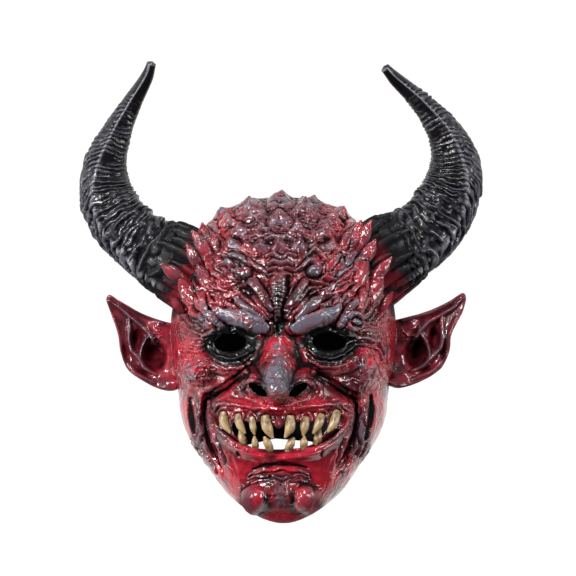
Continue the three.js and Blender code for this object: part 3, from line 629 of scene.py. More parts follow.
def smoothed(mesh, rounds):
    """Positions after each vertex has moved towards its neighbours that many times."""
    edges = np.empty(len(mesh.edges) * 2, np.int32)
    mesh.edges.foreach_get("vertices", edges)
    a, b = edges.reshape(-1, 2).T
    co = positions(mesh)
    count = np.bincount(a, minlength=len(co)) + np.bincount(b, minlength=len(co))
    for _ in range(rounds):
        for axis in range(3):
            near = np.bincount(a, weights=co[b, axis], minlength=len(co))
            near += np.bincount(b, weights=co[a, axis], minlength=len(co))
            co[:, axis] += SMOOTHING * (near / count - co[:, axis])
    return co


def standing_out(co, n, mesh, rounds):
    """How far each vertex stands out of the smoothed surface."""
    return np.sum((co - smoothed(mesh, rounds)) * n, axis=1)


def store(mesh, **layers):
    """Keeps a value for each vertex under each name."""
    for name, values in layers.items():
        layer = mesh.attributes.new(name, "FLOAT", "POINT")
        layer.data.foreach_set("value", np.asarray(values, np.float32))


def stored(mesh, name):
    values = np.empty(len(mesh.vertices), np.float32)
    mesh.attributes[name].data.foreach_get("value", values)
    return values


# The head


def plain_head(t, turn):
    y, half, face, back, side = between(STATIONS, t).T
    power = 2 / FACE_SQUARENESS
    c, s = np.cos(turn), np.sin(turn)
    reach = np.where(s > 0, face - side, side - back)
    x = MIDLINE_X - np.sign(c) * np.maximum(0, half) * np.abs(c) ** power
    z = side + np.sign(s) * reach * np.abs(s) ** power
    return np.column_stack([x, y, z]), side


def plain_depth(x, y):
    x, y = np.atleast_1d(np.asarray(x, float)), np.atleast_1d(np.asarray(y, float))
    _, half, face, _, side = between(STATIONS, station_at(y)).T
    share = np.minimum(1, np.abs(x - MIDLINE_X) / np.maximum(half, 1e-3))
    return side + (face - side) * (1 - share**FACE_SQUARENESS) ** (1 / FACE_SQUARENESS)


BACK_SHARE = 0.14  # of the columns, round the back of the head
COLUMN_CROWDING = 0.1
HOLLOW_REACH = 7  # mm round a point, over which the hollow keeps to the lowest form
CORE_LOW, CORE_HIGH = -110, 20  # the wall is measured towards a core line between these heights
CORE_DEPTH = 108
FAR_IN = 100  # below this depth, whatever faces the core is inside


def towards_core(co, depth):
    """Unit directions from the points to the core line of the head, at the given depth."""
    core_x, core_z = np.broadcast_to(MIDLINE_X, len(co)), np.broadcast_to(depth, len(co))
    inward = np.column_stack([core_x, np.clip(co[:, 1], CORE_LOW, CORE_HIGH), core_z]) - co
    return inward / (np.linalg.norm(inward, axis=1)[:, None] + 1e-9)


def head_grid(name, around, along, inset):
    """The head's forms on a sphere's grid, inset for the hollow, and how much each point faces front."""
    piece, longitude, latitude = ball(name, around, along)
    f = longitude / (1 - BACK_SHARE)
    over_face = math.pi * f + COLUMN_CROWDING * np.sin(2 * math.pi * f)
    over_back = math.pi + math.pi * (longitude - (1 - BACK_SHARE)) / BACK_SHARE
    top, bottom = STATIONS[0, 0], STATIONS[-1, 0]
    height_share = 0.65 * latitude + 0.35 * (0.5 - 0.5 * np.cos(math.pi * latitude))
    t = station_at(top + (bottom - top) * height_share)
    t = np.where(latitude < 1e-5, 0, np.where(latitude > 1 - 1e-5, 1, t))
    co, side = plain_head(t, np.where(f < 1, over_face, over_back))
    facing = ease((co[:, 2] - side - 2) / 22)
    x, y = co[:, 0], co[:, 1]
    height = relief(x, y)
    if inset:
        for dx, dy in ((1, 0), (-1, 0), (0, 1), (0, -1)):
            height = np.minimum(height, relief(x + dx * HOLLOW_REACH, y + dy * HOLLOW_REACH))
    inward = towards_core(co, side)
    co[:, 2] += facing * height
    co += inward * inset
    if inset:
        co[:, 2] = np.maximum(co[:, 2], WALL)
    set_positions(piece.data, co)
    face_outwards(piece)
    return piece, facing


def on_plan(x, y):
    return np.column_stack([x, y, np.zeros(x.shape)])


def bell(r, middle, wide):
    return np.exp(-(((r - middle) / wide) ** 2))


def full_form(height, rub, x, y, form):
    """Lays a full form with a crease round it over the height and the grey paint."""
    line, widths, rise, grey = form
    near, d, t = near_line(x, y, line, max(widths) * 1.6 + 1)
    width = np.maximum(0.7, between(widths, t))
    r = d / width
    crease = bell(r, 1.1, 0.9 / width + 0.12) * np.minimum(1, width / 1.5)
    old = height[near] - CREASE_DEPTH * crease
    full = rise * np.maximum(0, 1 - np.minimum(r, 1) ** (2 + 0.5 * width))
    inside = ease((1.05 - r) / 0.25)
    height[near] = np.where(r < 1.1, old * (1 - inside) + np.maximum(old * 0.4 + full, full) * inside, old)
    rub[near] = rub[near] * (1 - inside) + grey * inside


CREASE_DEPTH = 1.3
RIB_STEP = 3.6  # mm between the ribs of the ridge over the nose
STALK = ([(-2, 11), (-2.5, 3), (-3, -8), (-3, -25)], [6.0, 5.6, 4.0, 1.8], 4.5, 0.35)


def stalk(height, rub, x, y):
    """The ribbed ridge that rises from between the brows."""
    full_form(height, rub, x, y, STALK)
    near = (np.abs(x + 2.5) < 7) & (y > -28) & (y < 16)
    d, t = to_line(x[near], y[near], STALK[0])
    width = between(STALK[1], t)
    rib = np.abs(np.sin(math.pi * (y[near] + 0.06 * d**2) / RIB_STEP)) ** 0.7
    height[near] += 1.6 * (rib - 0.8) * ease((1.05 - d / width) / 0.3) * ease((t - 0.02) / 0.05)


def petal(height, rub, x, y, form):
    """A flat-topped lobe with a thin raised rim and worm-like cracks, which stay red."""
    line, widths, rise, grey = form
    near, d, t = near_line(x, y, line, max(widths) * 1.6 + 1)
    r = d / np.maximum(0.7, between(widths, t))
    flat = on_plan(x[near], y[near])
    worms = ease((0.11 - np.abs(noise(flat, 7.0, 61) + 0.25 * noise(flat, 2.5, 62))) / 0.08)
    worms *= ease((0.85 - r) / 0.15) * ease(noise(flat, 14.0, 63) * 3 + 0.8)
    full = rise * np.maximum(0, 1 - np.minimum(r, 1) ** 7) + 0.8 * bell(r, 0.86, 0.09) + 1.3 * worms
    inside = ease((1.04 - r) / 0.14)
    old = height[near] - CREASE_DEPTH * bell(r, 1.12, 0.22)
    height[near] = np.where(r < 1.1, old * (1 - inside) + (old * 0.2 + full) * inside, old)
    rub[near] = rub[near] * (1 - inside) + grey * inside * (1 - worms)


def trench(height, dark, x, y, form):
    line, widths, depth = form
    near, d, t = near_line(x, y, line, max(widths) * 2)
    r = d / np.maximum(0.6, between(widths, t))
    height[near] -= depth * dome(r / 1.35)
    # Black painted into the groove: washed-in black with painted shade
    dark[near] = np.maximum(dark[near], ease((1.35 - r) / 0.6))


SCALP_FROM, SCALP_HALF_WIDE = 8, 92


def knobs(height, rub, x, y):
    """Three-edged spikes of the scalp, with folds that run round them and meet in between."""
    area = (y > SCALP_FROM) & (np.abs(x) < SCALP_HALF_WIDE)
    px, py = x[area], y[area]
    flat = on_plan(px, py)
    px = px + 1.5 * noise(flat, 8.0, 51)
    py = py + 1.5 * noise(flat, 8.0, 52)
    nearest, radius, rise_here = np.full(px.shape, 9.0), np.full(px.shape, 8.0), np.zeros(px.shape)
    for cx, cy, r, rise in KNOBS:
        dx, dy = px - cx, (py - cy) * np.where(py > cy, 1.5, 0.9)
        edges = 1 - 0.32 * np.cos(3 * (np.arctan2(dy, dx) - math.pi / 2))
        d = np.hypot(dx, dy) / r * edges
        nearer = d < nearest
        nearest = np.where(nearer, d, nearest)
        rise_here = np.where(nearer, rise, rise_here)
        radius = np.where(nearer, r, radius)
    strength = ease((py - 24) / 14)
    spike = 1.7 * rise_here * np.maximum(0, 1 - nearest) ** 1.25
    phase = nearest * radius / 3.4 + 0.9 * noise(flat, 9.0, 53)
    waves = np.abs(np.sin(math.pi * phase)) ** 0.7 - 0.6
    waves *= 0.9 * ease((nearest - 0.3) / 0.25) * (0.6 + 0.4 * noise(flat, 9.0, 54))
    height[area] += strength * (spike + waves - 0.8)
    rub[area] = np.maximum(rub[area], strength * 0.85 * ease((0.6 - nearest) / 0.4) * (rise_here > 3.2))
    round_knob, lined = np.zeros((2, len(x)))
    round_knob[area] = nearest * radius + 1.2 * noise(flat, 5.0, 55)
    lined[area] = strength * ease((nearest - 0.2) / 0.2)
    return round_knob, lined


def leaf(height, rub, x, y, form):
    """A flat scale with a ridge along its middle, which rises towards a sharp tip."""
    line, widths, rise, grey = form
    near, d, t = near_line(x, y, line, max(widths) * 1.6 + 1)
    r = d / np.maximum(0.6, between(widths, t))
    roof = rise * (0.4 + 0.9 * t) * (0.5 * (1 - np.minimum(r, 1) ** 5) + 0.5 * (1 - np.minimum(r, 1)))
    inside = ease((1.08 - r) / 0.16)
    old = height[near] - 2.0 * bell(r, 1.2, 0.3)
    height[near] = np.where(r < 1.1, old * (1 - inside) + np.maximum(old * 0.25 + roof, roof) * inside, old)
    rub[near] = rub[near] * (1 - inside) + grey * inside


PLATE_LONG, PLATE_WIDE = 15.0, 7.5
PLATE_LEAN = 0.8  # radians from upright, outwards
PLATE_ZONES = [
    (-56, 12, 30, 30, 30, 3.0), (-70, 22, 20, 30, 20, 3.0), (56, 14, 30, 30, -30, 3.0),
    (70, 26, 20, 30, -20, 3.0),
]


def plates(height, rub, x, y):
    """Leaf-like plates over both temples: each rises towards its outer end and drops there to the next."""
    strength = zone(x, y, PLATE_ZONES)
    near = strength > 0
    px, py = np.abs(x[near]), y[near]
    flat = on_plan(x[near], y[near])
    px = px + 0.9 * noise(flat, 9.0, 71)
    py = py + 0.9 * noise(flat, 9.0, 72)
    u = (px * math.sin(PLATE_LEAN) + py * math.cos(PLATE_LEAN)) / PLATE_LONG
    v = (px * math.cos(PLATE_LEAN) - py * math.sin(PLATE_LEAN)) / PLATE_WIDE
    row, column = np.floor(u).astype(np.int64), np.floor(v).astype(np.int64)
    on_right = (x[near] > 0).astype(np.int64)
    first, second = np.full(px.shape, 9.0), np.full(px.shape, 9.0)
    rise, tint = np.zeros(px.shape), np.zeros(px.shape)
    for i in (-1, 0, 1):
        for j in (-1, 0, 1):
            across, along, lift, tilt, colour = (
                lattice(row + i, column + j, on_right, seed) for seed in (73, 74, 75, 76, 77)
            )
            du, dv = u - (row + i + 0.15 + 0.7 * across), v - (column + j + 0.15 + 0.7 * along)
            d = np.hypot(du, dv)
            nearer = d < first
            second = np.where(nearer, first, np.minimum(second, d))
            first = np.where(nearer, d, first)
            rise = np.where(nearer, 0.5 + lift + 1.8 * du + 2.0 * (tilt - 0.5) * dv, rise)
            tint = np.where(nearer, colour, tint)
    gap = ease((second - first) / 0.16)
    height[near] += strength[near] * ((1.6 * rise + 0.6) * gap - 2.6 * (1 - gap))
    rub[near] = np.maximum(rub[near], strength[near] * 0.7 * (tint > 0.72) * gap)


FOLD_LISTS = (FOREHEAD, LEFT_BROW, RIGHT_BROW, EYE_FOLDS, NOSE_FOLDS, MOUTH_FOLDS, CHIN_FOLDS)


def lay_folds(height, rub, petal_rub, dark, x, y):
    """Lays every drawn form over the height and its paint, and gives the lines that run round the knobs."""
    lines_round_knobs = knobs(height, rub, x, y)
    for forms in FOLD_LISTS:
        for form in forms:
            full_form(height, rub, x, y, form)
    for form in PETALS:
        petal(height, petal_rub, x, y, form)
    plates(height, rub, x, y)
    for form in LEAVES:
        leaf(height, rub, x, y, form)
    stalk(height, rub, x, y)
    for form in TRENCHES:
        trench(height, dark, x, y, form)
    return lines_round_knobs


def gums(height, x, y):
    """Gum scallops that arch over each tooth."""
    for name, (root, _, _, width), _, _ in TEETH:
        outwards = 1 if name.startswith("upper") else -1
        cx, cy = root[0], root[1] - 1.5 * outwards
        d = np.hypot(x - cx, (y - cy) * 0.9)
        ring = dome(np.abs(d - width * 0.62) / 2.0) * ((y - cy) * outwards > -2.5)
        height += (1.7 if outwards > 0 else 0.8) * ring


WOBBLE = 1.0  # mm by which drawn lines stray


def sculpt_skin(piece, facing):
    """Adds the wrinkles, the drawn folds, the gums and small lumps, along the surface's own directions."""
    co = positions(piece.data)
    x, y = as_seen(co)
    stray = WOBBLE * (1 + zone(x, y, UNEVEN_ZONES))
    x = x + stray * noise(co, 8.0, 21) + 0.25 * noise(co, 3.0, 23)
    y = y + stray * noise(co, 8.0, 22) + 0.25 * noise(co, 3.0, 24)
    coarse = 1 - 2.4 * np.abs(strands(co, 5.2, 3))
    fine = 1 - 2.4 * np.abs(strands(co, 2.6, 7))
    height = (0.12 + zone(x, y, WRINKLED_ZONES)) * (1.1 * coarse + 0.7 * fine)
    pebbles = 1.2 * (1 - 2.6 * np.abs(noise(co, 5.5, 33))) + 0.7 * noise(co, 3.0, 31)
    height += zone(x, y, PEBBLED_ZONES) * pebbles
    height += 1.5 * zone(x, y, FOLDED_ZONES) * ease(1 - np.abs(noise(co, 10.0, 35)) / 0.3)
    no_paint = np.zeros((3, len(co)))
    lay_folds(height, *no_paint, x, y)
    gums(height, x, y)
    height += highest(x, y, LOBES, plateau) + plateau(x, y, CLEFT)
    height += 0.45 * noise(co, 9.0, 32) + 0.12 * noise(co, 3.4, 34)
    height *= 0.2 + 0.8 * facing
    set_positions(piece.data, co + normals(piece.data) * height[:, None])


WRINKLED_ZONES = [
    (-58, 8, 34, 34, 30, 0.12), (60, 8, 34, 34, -30, 0.12), (0, 12, 40, 26, 0, 0.5),
    (0, 62, 84, 42, 0, 1.2), (-80, -40, 16, 20, 0, 0.5), (80, -36, 16, 18, 0, 0.5),
    (-44, -62, 34, 12, 0, 0.3), (43, -62, 34, 12, 0, 0.3), (-71, -124, 10, 36, -8, 1.8),
    (69, -124, 10, 36, 8, 1.8), (0, -160, 34, 10, 0, 0.5),
]
UNEVEN_ZONES = [
    (-70, -120, 14, 44, -8, 2.0), (68, -120, 14, 44, 8, 2.0), (-60, 10, 34, 40, 30, 1.0),
    (60, 10, 34, 40, -30, 1.0), (0, -160, 36, 12, 0, 1.0),
]
FOLDED_ZONES = [
    (-78, -66, 26, 25, 0, 1.0), (77, -66, 26, 25, 0, 1.0), (-4, -76, 16, 12, 0, 0.4),
    (0, -168, 30, 14, 0, 0.6), (-56, -158, 18, 24, 0, 0.3), (56, -158, 18, 24, 0, 0.3),
]
PEBBLED_ZONES = [
    (-76, -66, 25, 23, 0, 0.55), (75, -66, 23, 23, 0, 0.5), (-3, -60, 14, 24, 0, 0.25),
    (0, -172, 34, 20, 0, 0.25), (-64, -100, 10, 30, 0, 0.6), (64, -100, 10, 30, 0, 0.6),
    (66, -24, 16, 16, 0, 0.9),
]

# Curves and swept forms


def curve_between(p0, p1, p2, p3, f):
    """Points of a smooth curve from p1 to p2, without loops where the points stand unevenly."""
    pairs = ((p0, p1), (p1, p2), (p2, p3))
    g0, g1, g2 = (np.maximum(1e-4, np.linalg.norm(b - a, axis=1) ** 0.5)[:, None] for a, b in pairs)
    t1 = ((p1 - p0) / g0 - (p2 - p0) / (g0 + g1) + (p2 - p1) / g1) * g1
    t2 = ((p2 - p1) / g1 - (p3 - p1) / (g1 + g2) + (p3 - p2) / g2) * g1
    return p1 + t1 * f + (3 * (p2 - p1) - 2 * t1 - t2) * f**2 + (2 * (p1 - p2) + t1 + t2) * f**3


def curve_points(points, t):
    """Points of a smooth curve through the given points, evenly along its parameter from 0 to 1."""
    points = np.asarray(points, float)
    points = np.vstack([2 * points[0] - points[1], points, 2 * points[-1] - points[-2]])
    parts = len(points) - 3
    place = clamp01(t) * parts
    i = np.minimum(parts - 1, np.floor(place)).astype(int)
    return curve_between(points[i], points[i + 1], points[i + 2], points[i + 3], (place - i)[:, None])


def closed_curve(points, t):
    """Points of a closed curve."""
    points = np.asarray(points, float)
    count = len(points)
    place = (np.asarray(t) % 1.0) * count
    i = np.floor(place).astype(int) % count
    p0, p1, p2, p3 = (points[(i + step) % count] for step in (-1, 0, 1, 2))
    return curve_between(p0, p1, p2, p3, (place - np.floor(place))[:, None])


TIP_LENGTH = 0.5


def swept(name, points, across, through, rings, sides, grow, shape):
    """A tapered form along a curve, from a sphere whose poles become the root and the tip."""
    piece, longitude, latitude = ball(name, sides, rings)
    t = clamp01((latitude * rings - 1) / (rings - 2))
    step = 1e-4
    middle = curve_points(points, t)
    ahead = curve_points(points, np.minimum(1, t + step)) - curve_points(points, np.maximum(0, t - step))
    ahead /= np.linalg.norm(ahead, axis=1)[:, None]
    side = np.cross([0.0, 0.0, 1.0], ahead)
    side /= np.linalg.norm(side, axis=1)[:, None]
    front = np.cross(ahead, side)
    turn = 2 * math.pi * longitude
    a, b = between(across, t), between(through, t)
    size = shape(t, turn, a)
    ring = side * ((a * size + grow) * np.cos(turn))[:, None]
    ring += front * ((b * size + grow) * np.sin(turn))[:, None]
    root_end, tip_end = latitude < 1e-5, latitude > 1 - 1e-5
    ring[root_end | tip_end] = 0
    co = middle + ring
    co[t <= 0] -= ahead[t <= 0] * grow
    co[tip_end] = middle[tip_end] + ahead[tip_end] * (a[tip_end] * TIP_LENGTH + grow)[:, None]
    set_positions(piece.data, co)
    face_outwards(piece)
    return piece


# Horns: path and half widths, the same as the solids have
HORN_DEPTH = 0.95
# Degrees from the horn's outer side towards the front, at even steps up the horn
KEEL_TURNS = [40, 43, 57, 74, 80, 82]
KEEL_HEIGHT = 0.17
HORNS = {
    "left_horn": (
        [
            (-50, 2, 124), (-95, 28, 122), (-125, 46, 116), (-146, 66, 110), (-157.5, 90, 107),
            (-157.5, 116, 110), (-148, 142, 119), (-133, 169, 133), (-119, 192, 146), (-115, 203, 151),
        ],
        [38, 35, 28, 26.5, 24.5, 19, 13.5, 9, 6, 4.4],
    ),
    "right_horn": (
        [
            (56, 4, 124), (99, 36, 122), (124, 52, 117), (141, 71, 111), (153, 95, 108), (155, 117, 110),
            (147, 141, 119), (125.3, 168, 133), (100.4, 190, 146), (91.5, 199, 152),
        ],
        [39, 36.5, 30, 29, 26.5, 22, 16, 10, 6.5, 4.6],
    ),
}
HORN_SCALE = 0.95  # keeps the swells inside the solid's outline
RING_STEP = 4.8
LUMP_STEP = 9.5
COLLAR_LOBES = 22
HORN_RINGS, HORN_SIDES = 430, 160
PATH_SAMPLES = 1500  # for the length along a horn


def horn(name, grow):
    """A horn with its keel, bark-like rings, swells and lobed collar, and where each is painted, with a
    highlight painted along the keel and sheen painted over the outer side.
    """
    points, half = HORNS[name]
    at = np.linspace(0, 1, PATH_SAMPLES)
    steps = np.linalg.norm(np.diff(curve_points(points, at), axis=0), axis=1)
    lengths = np.concatenate([[0], np.cumsum(steps)])
    seed = 40 if name == "left_horn" else 60
    paint = {}

    def shape(t, turn, a):
        s = np.interp(t, at, lengths)
        share = s / lengths[-1]
        keel_turn = np.radians(between(KEEL_TURNS, t))
        if name == "right_horn":
            keel_turn = math.pi - keel_turn
        away = (turn - keel_turn + math.pi) % (2 * math.pi) - math.pi
        outside = -away if name == "left_horn" else away
        keel_share = np.maximum(0, 1 - np.abs(away) / 0.9) ** 2
        around = a[:, None] * np.column_stack([np.cos(turn), np.sin(turn)])
        swirl = np.column_stack([around, s])
        bend = 2.4 * noise(swirl, 15.0, seed) + 1.3 * noise(swirl, 6.0, seed + 1)
        slant = 0.7 * a * np.clip(outside, 0, 1.4)
        saw = (s + slant + bend) / RING_STEP
        saw = (saw - np.floor(saw)) ** 0.75
        ring = 1 - np.abs(2 * saw - 1) ** 1.8
        strength = np.maximum(0.1, 0.65 + 0.9 * noise(swirl, 9.0, seed + 2))
        rings_on = ease((share - 0.24) / 0.2) * ease((0.95 - share) / 0.12)
        stretched = np.column_stack([around * 0.4, s + slant + 0.6 * bend])
        bark = 1 - 2.6 * np.abs(noise(stretched, 8.5, seed + 6))
        swell = np.abs(np.sin(math.pi * (s + 1.2 * slant + 2.4 * bend) / LUMP_STEP)) ** 0.7
        lumps_on = ease((share - 0.16) / 0.1) * ease((0.62 - share) / 0.25)
        turns = turn * COLLAR_LOBES / (2 * math.pi) + 0.3 * noise(swirl / [1, 1, 3], 12.0, seed + 3)
        lobe = np.floor(turns)
        lobe_end = 0.17 + 0.1 * lattice(lobe.astype(np.int64), np.zeros(lobe.shape, np.int64), 0, seed)
        from_end = (lobe_end - share) * lengths[-1]
        lobe_half = 0.5 * np.sqrt(clamp01(from_end / 14))
        lobe_across = 1 - np.minimum(1, np.abs(turns - lobe - 0.5) / np.maximum(0.02, lobe_half)) ** 2.2
        lobes_on = ease(from_end / 3)
        cracks = 1 - 2.6 * np.abs(noise(swirl * [1, 1, 0.6], 4.0, seed + 4))
        out = 2.3 * (ring - 0.6) * strength * rings_on * (1 - lobes_on)
        out += 2.3 * (bark - 0.3) * ease((0.6 - share) / 0.3) * (1 - lobes_on)
        outwards = 0.4 + 0.6 * ease((outside + 0.1) / 0.2)
        out += 5.6 * (swell - 0.65) * lumps_on * outwards * (1 - 0.6 * lobes_on)
        out += (4.6 * lobe_across - 1.8) * lobes_on
        out += 0.25 * cracks * ease((0.9 - share) / 0.2) * (1 - 0.7 * lobes_on)
        out *= 1 - 0.3 * keel_share
        keel = KEEL_HEIGHT * keel_share * ease((0.97 - t) / 0.2) * (1 + 0.7 * (swell - 0.5) * lumps_on)
        keel *= ease((share - 0.12) / 0.1)
        flat_face = 0.07 * np.cos(2 * away) * ease((0.9 - t) / 0.3)
        keel_highlight = ease((keel_share - 0.76) / 0.18) * ease((share - 0.14) / 0.08)
        on_rings = ease((ring - 0.35) / 0.3) * ease(0.6 + strength)
        # a highlight painted in grey along the keel, near the tip and at each ring crest that crosses it
        paint["keel"] = keel_highlight * np.maximum(ease((share - 0.72) / 0.12), on_rings)
        # the outer side, which the paint makes lighter as sheen
        paint["outer"] = ease((outside - 0.05) / 0.2)
        paint["red"] = ease((0.19 - share) / 0.07)
        paint["collar"] = ease((0.3 - share) / 0.08)
        return HORN_SCALE * (1 + keel - flat_face) + out / np.maximum(a, 7)

    depths = [h * HORN_DEPTH for h in half]
    piece = swept(name + "_casting", points, half, depths, HORN_RINGS, HORN_SIDES, grow, shape)
    store(piece.data, **paint)
    return piece


# Ears, in front view and true millimetres: the outline runs from the head over the tip to the lobe
EAR_RIM_THICK = 4
EAR_ROOT_DEPTH = 118
EAR_LEAN = 0.1
EAR_CURL = 8
EAR_MIDDLE_THICK = 10
EAR_ROOT_THICK = 12
# Half widths and heights along the ridges of an ear, which are the same for both ears
EAR_RIDGE_SIZES = [
    ([1.6, 2.2, 2.4, 2.4, 2.6, 2.6, 2.0], [2, 4, 5, 6, 7, 7, 3]),
    ([1.8, 2.4, 2.6, 2.6, 2.6, 2.6, 2.0], [5, 5, 5, 6, 6, 5, 2]), ([2.0, 2.2, 2.2, 2.4], [6, 6, 6, 6]),
    ([8, 8.5, 6], [6, 6, 3]), ([8, 6], [4, 4]), ([2.0, 2.4, 2.4], [2, 3, 3]),
    ([1.8, 2.2, 2.4, 2.4, 2], [2, 2, 3, 3, 2]),
]


def ridges_along(*lines):
    return [(line, *sizes) for line, sizes in zip(lines, EAR_RIDGE_SIZES)]


# Each ear has its middle, its outline, its ridges and its hollows
EARS = [
    (
        (-117, -46),
        [
            (-88, -30), (-103, -26), (-125, -18), (-145, -7), (-154.5, -1.8), (-157, -5), (-153.5, -17),
            (-147, -35), (-144, -54), (-138, -68), (-122, -80), (-105, -87), (-93, -86), (-84, -70),
        ],
        ridges_along(
            [(-154, -7), (-144, -14), (-135.6, -21.7), (-127, -28), (-119, -36), (-114, -44),
             (-107.5, -53)],
            [(-136.6, -21.7), (-136, -31), (-136.6, -40), (-134, -52), (-127, -59), (-123, -67),
             (-112, -73)],
            [(-117.4, -38), (-122, -42), (-125.4, -49), (-126.4, -58)],
            [(-112, -31), (-106, -40), (-100, -50)],
            [(-102, -79.6), (-97, -80)], [(-144, -8), (-126, -18), (-106, -27)],
            [(-150, -22), (-144, -40), (-141, -58), (-131, -72), (-114, -80)],
        ),
        [
            (-129.8, -42, 7.5, 14, -8, -8), (-113.6, -57, 14, 17, 0, -13), (-140, -54, 4.5, 18, 14, -4),
            (-124, -71, 13, 4, -28, -4),
        ],
    ),
    (
        (123, -46),
        [
            (90, -28), (106, -23), (131, -16), (152, -6), (162.5, 0.2), (165, -3), (161.5, -18),
            (152.5, -36), (149.5, -54), (143, -67), (129, -77), (106, -85), (96, -83), (86, -70),
        ],
        ridges_along(
            [(163, -4), (154, -13), (143.3, -19.6), (131.4, -26), (124, -33.5), (119.6, -41), (114.3, -50)],
            [(143.3, -19.6), (143.3, -29), (144.3, -40), (142, -49), (134.6, -57), (126, -65), (116, -70)],
            [(124, -36), (129.3, -43), (132, -52), (132, -59)], [(116, -30), (110, -39), (104, -49)],
            [(103.6, -79.6), (98, -79)], [(152, -9), (132, -18), (108, -25)],
            [(156, -22), (149, -40), (147, -56), (136, -69), (118, -77)],
        ),
        [
            (137.3, -41, 7.5, 15, 4, -8), (120.6, -54, 14, 17, 0, -13), (145.6, -53, 4.5, 17, -14, -4),
            (129, -69, 13, 4, 28, -4),
        ],
    ),
]
EAR_AROUND, EAR_ALONG = 150, 90


def widened(forms, times):
    return [(line, [times * w for w in widths], heights) for line, widths, heights in forms]


def ear(form, number):
    middle, outline, ridges, hollows = form
    piece, longitude, latitude = ball("ear", EAR_AROUND, EAR_ALONG)
    back = latitude > 0.5
    out = np.minimum(1, np.where(back, 1 - latitude, latitude) * 2)
    edge = closed_curve(outline, longitude)
    x = middle[0] + out * (edge[:, 0] - middle[0])
    y = middle[1] + out * (edge[:, 1] - middle[1])
    lean = EAR_ROOT_DEPTH - EAR_LEAN * np.maximum(0, np.abs(x) - 90)
    relief_here = highest(x, y, widened(ridges, 1.25), cord) + lowest(x, y, hollows, lump)
    front = lean + EAR_CURL * out**3 - EAR_RIM_THICK + relief_here
    thick = EAR_RIM_THICK + EAR_MIDDLE_THICK * (1 - out) + EAR_ROOT_THICK * ease((100 - np.abs(x)) / 14)
    rounding = np.sqrt(np.maximum(0, 1 - np.maximum(0, (out - 0.93) / 0.07) ** 2))
    half_thick = thick / 2
    z = front - half_thick + np.where(back, -1, 1) * half_thick * rounding
    co = np.column_stack([x, y, z])
    set_positions(piece.data, co)
    face_outwards(piece)
    near_edge = 1 - 0.6 * ease((out - 0.9) / 0.1)
    height = 0.12 * noise(co, 3.4, 80 + number) + 0.6 * noise(co, 8.0, 82 + number)
    height += 0.25 * (1 - 2.4 * np.abs(noise(co, 7.0, 84 + number)))
    set_positions(piece.data, co + normals(piece.data) * (height * near_edge)[:, None])
    return piece


# Flame-like scales that stand off the skin before the horn bases: root, tip and half width as drawn
FLAMES = [
    (-73, -16, -91, 14, 7), (-59, -2, -76, 28, 6), (-61, 30, -79, 55, 5.5), (-70, 20, -84, 43, 5),
    (-80, 6, -107, 26, 6), (-86, -20, -98, -2, 4.5), (-66, 40, -70, 62, 5), (-62, 35, -69, 56, 4.5),
    (-56, 36, -61, 54, 4), (73, -14, 89.5, 18, 7), (64, 0, 76, 34, 6), (65, 35, 79, 64, 5.5),
    (70, 24, 83, 47, 5.5), (78, 8, 97, 32, 5), (86, -18, 98, 1, 4.5), (64, 42, 70, 64, 5),
    (60, 37, 68, 58, 4.5), (54, 38, 59, 56, 4),
]
FLAME_LIFT, FLAME_BOW = 4, 3
HORN_FRONT = 157
FLAME_WIDTHS = [0.75, 1.0, 0.95, 0.2]  # against the half width, at even steps
FLAME_DEPTHS = [0.4, 0.34, 0.26, 0.1]
FLAME_RINGS, FLAME_SIDES = 48, 24


def flame(form):
    root_x, root_y, tip_x, tip_y, half = form
    root_z = plain_depth(root_x, root_y)[0] - 2
    tip_z = max(plain_depth(tip_x, tip_y)[0], HORN_FRONT) + FLAME_LIFT
    middle = ((root_x + tip_x) / 2, (root_y + tip_y) / 2, (root_z + tip_z) / 2 + FLAME_BOW)

    def shape(t, turn, a):
        return (np.abs(np.cos(turn)) + np.abs(np.sin(turn))) ** -0.9

    path = [(root_x, root_y, root_z), middle, (tip_x, tip_y, tip_z)]
    widths, depths = [half * w for w in FLAME_WIDTHS], [half * d for d in FLAME_DEPTHS]
    return swept("flame", path, widths, depths, FLAME_RINGS, FLAME_SIDES, 0, shape)


# Teeth, in front view: root, middle, tip and full width
UPPER_TEETH = [
    ((-50.5, -104), (-49.5, -114), (-44.5, -122), 8.4), ((-38, -106), (-36, -115), (-31.5, -122), 7.6),
    ((-25.5, -108), (-24.6, -116), (-23.4, -123), 6.6), ((-14, -107), (-12.5, -116), (-7.5, -126), 9.6),
    ((8, -107), (7.5, -116), (3, -125.5), 9), ((21.5, -108), (20, -116), (19, -124), 7.6),
    ((35, -106), (32, -114), (27.5, -122), 7.8), ((48, -103), (45.5, -113), (40, -121), 8.6),
]
LOWER_TEETH = [
    ((-33, -132), (-34.5, -126), (-36.5, -120), 7.2), ((-22.5, -136), (-23, -130), (-23.5, -124.5), 6.4),
    ((-9.5, -138), (-12, -131), (-15, -125), 7.8), ((5, -138), (8, -131), (11, -125.5), 7.6),
    ((19, -136), (19.5, -130), (20, -124.5), 7), ((30, -132), (32, -125), (34, -119), 7.4),
]
UPPER_SET_BACK = -1
LOWER_SET_BACK = 5
TOOTH_ROWS = (("upper", UPPER_TEETH, UPPER_SET_BACK), ("lower", LOWER_TEETH, LOWER_SET_BACK))
TEETH = [
    (f"{kind}_tooth_{i + 1}", form, set_back, i)
    for kind, row, set_back in TOOTH_ROWS for i, form in enumerate(row)
]
TOOTH_WIDTHS = [0.85, 1, 0.85, 0.3]  # against the half width, at even steps
TOOTH_DEPTHS = [0.9, 0.95, 0.75, 0.3]
TOOTH_RINGS, TOOTH_SIDES = 36, 28


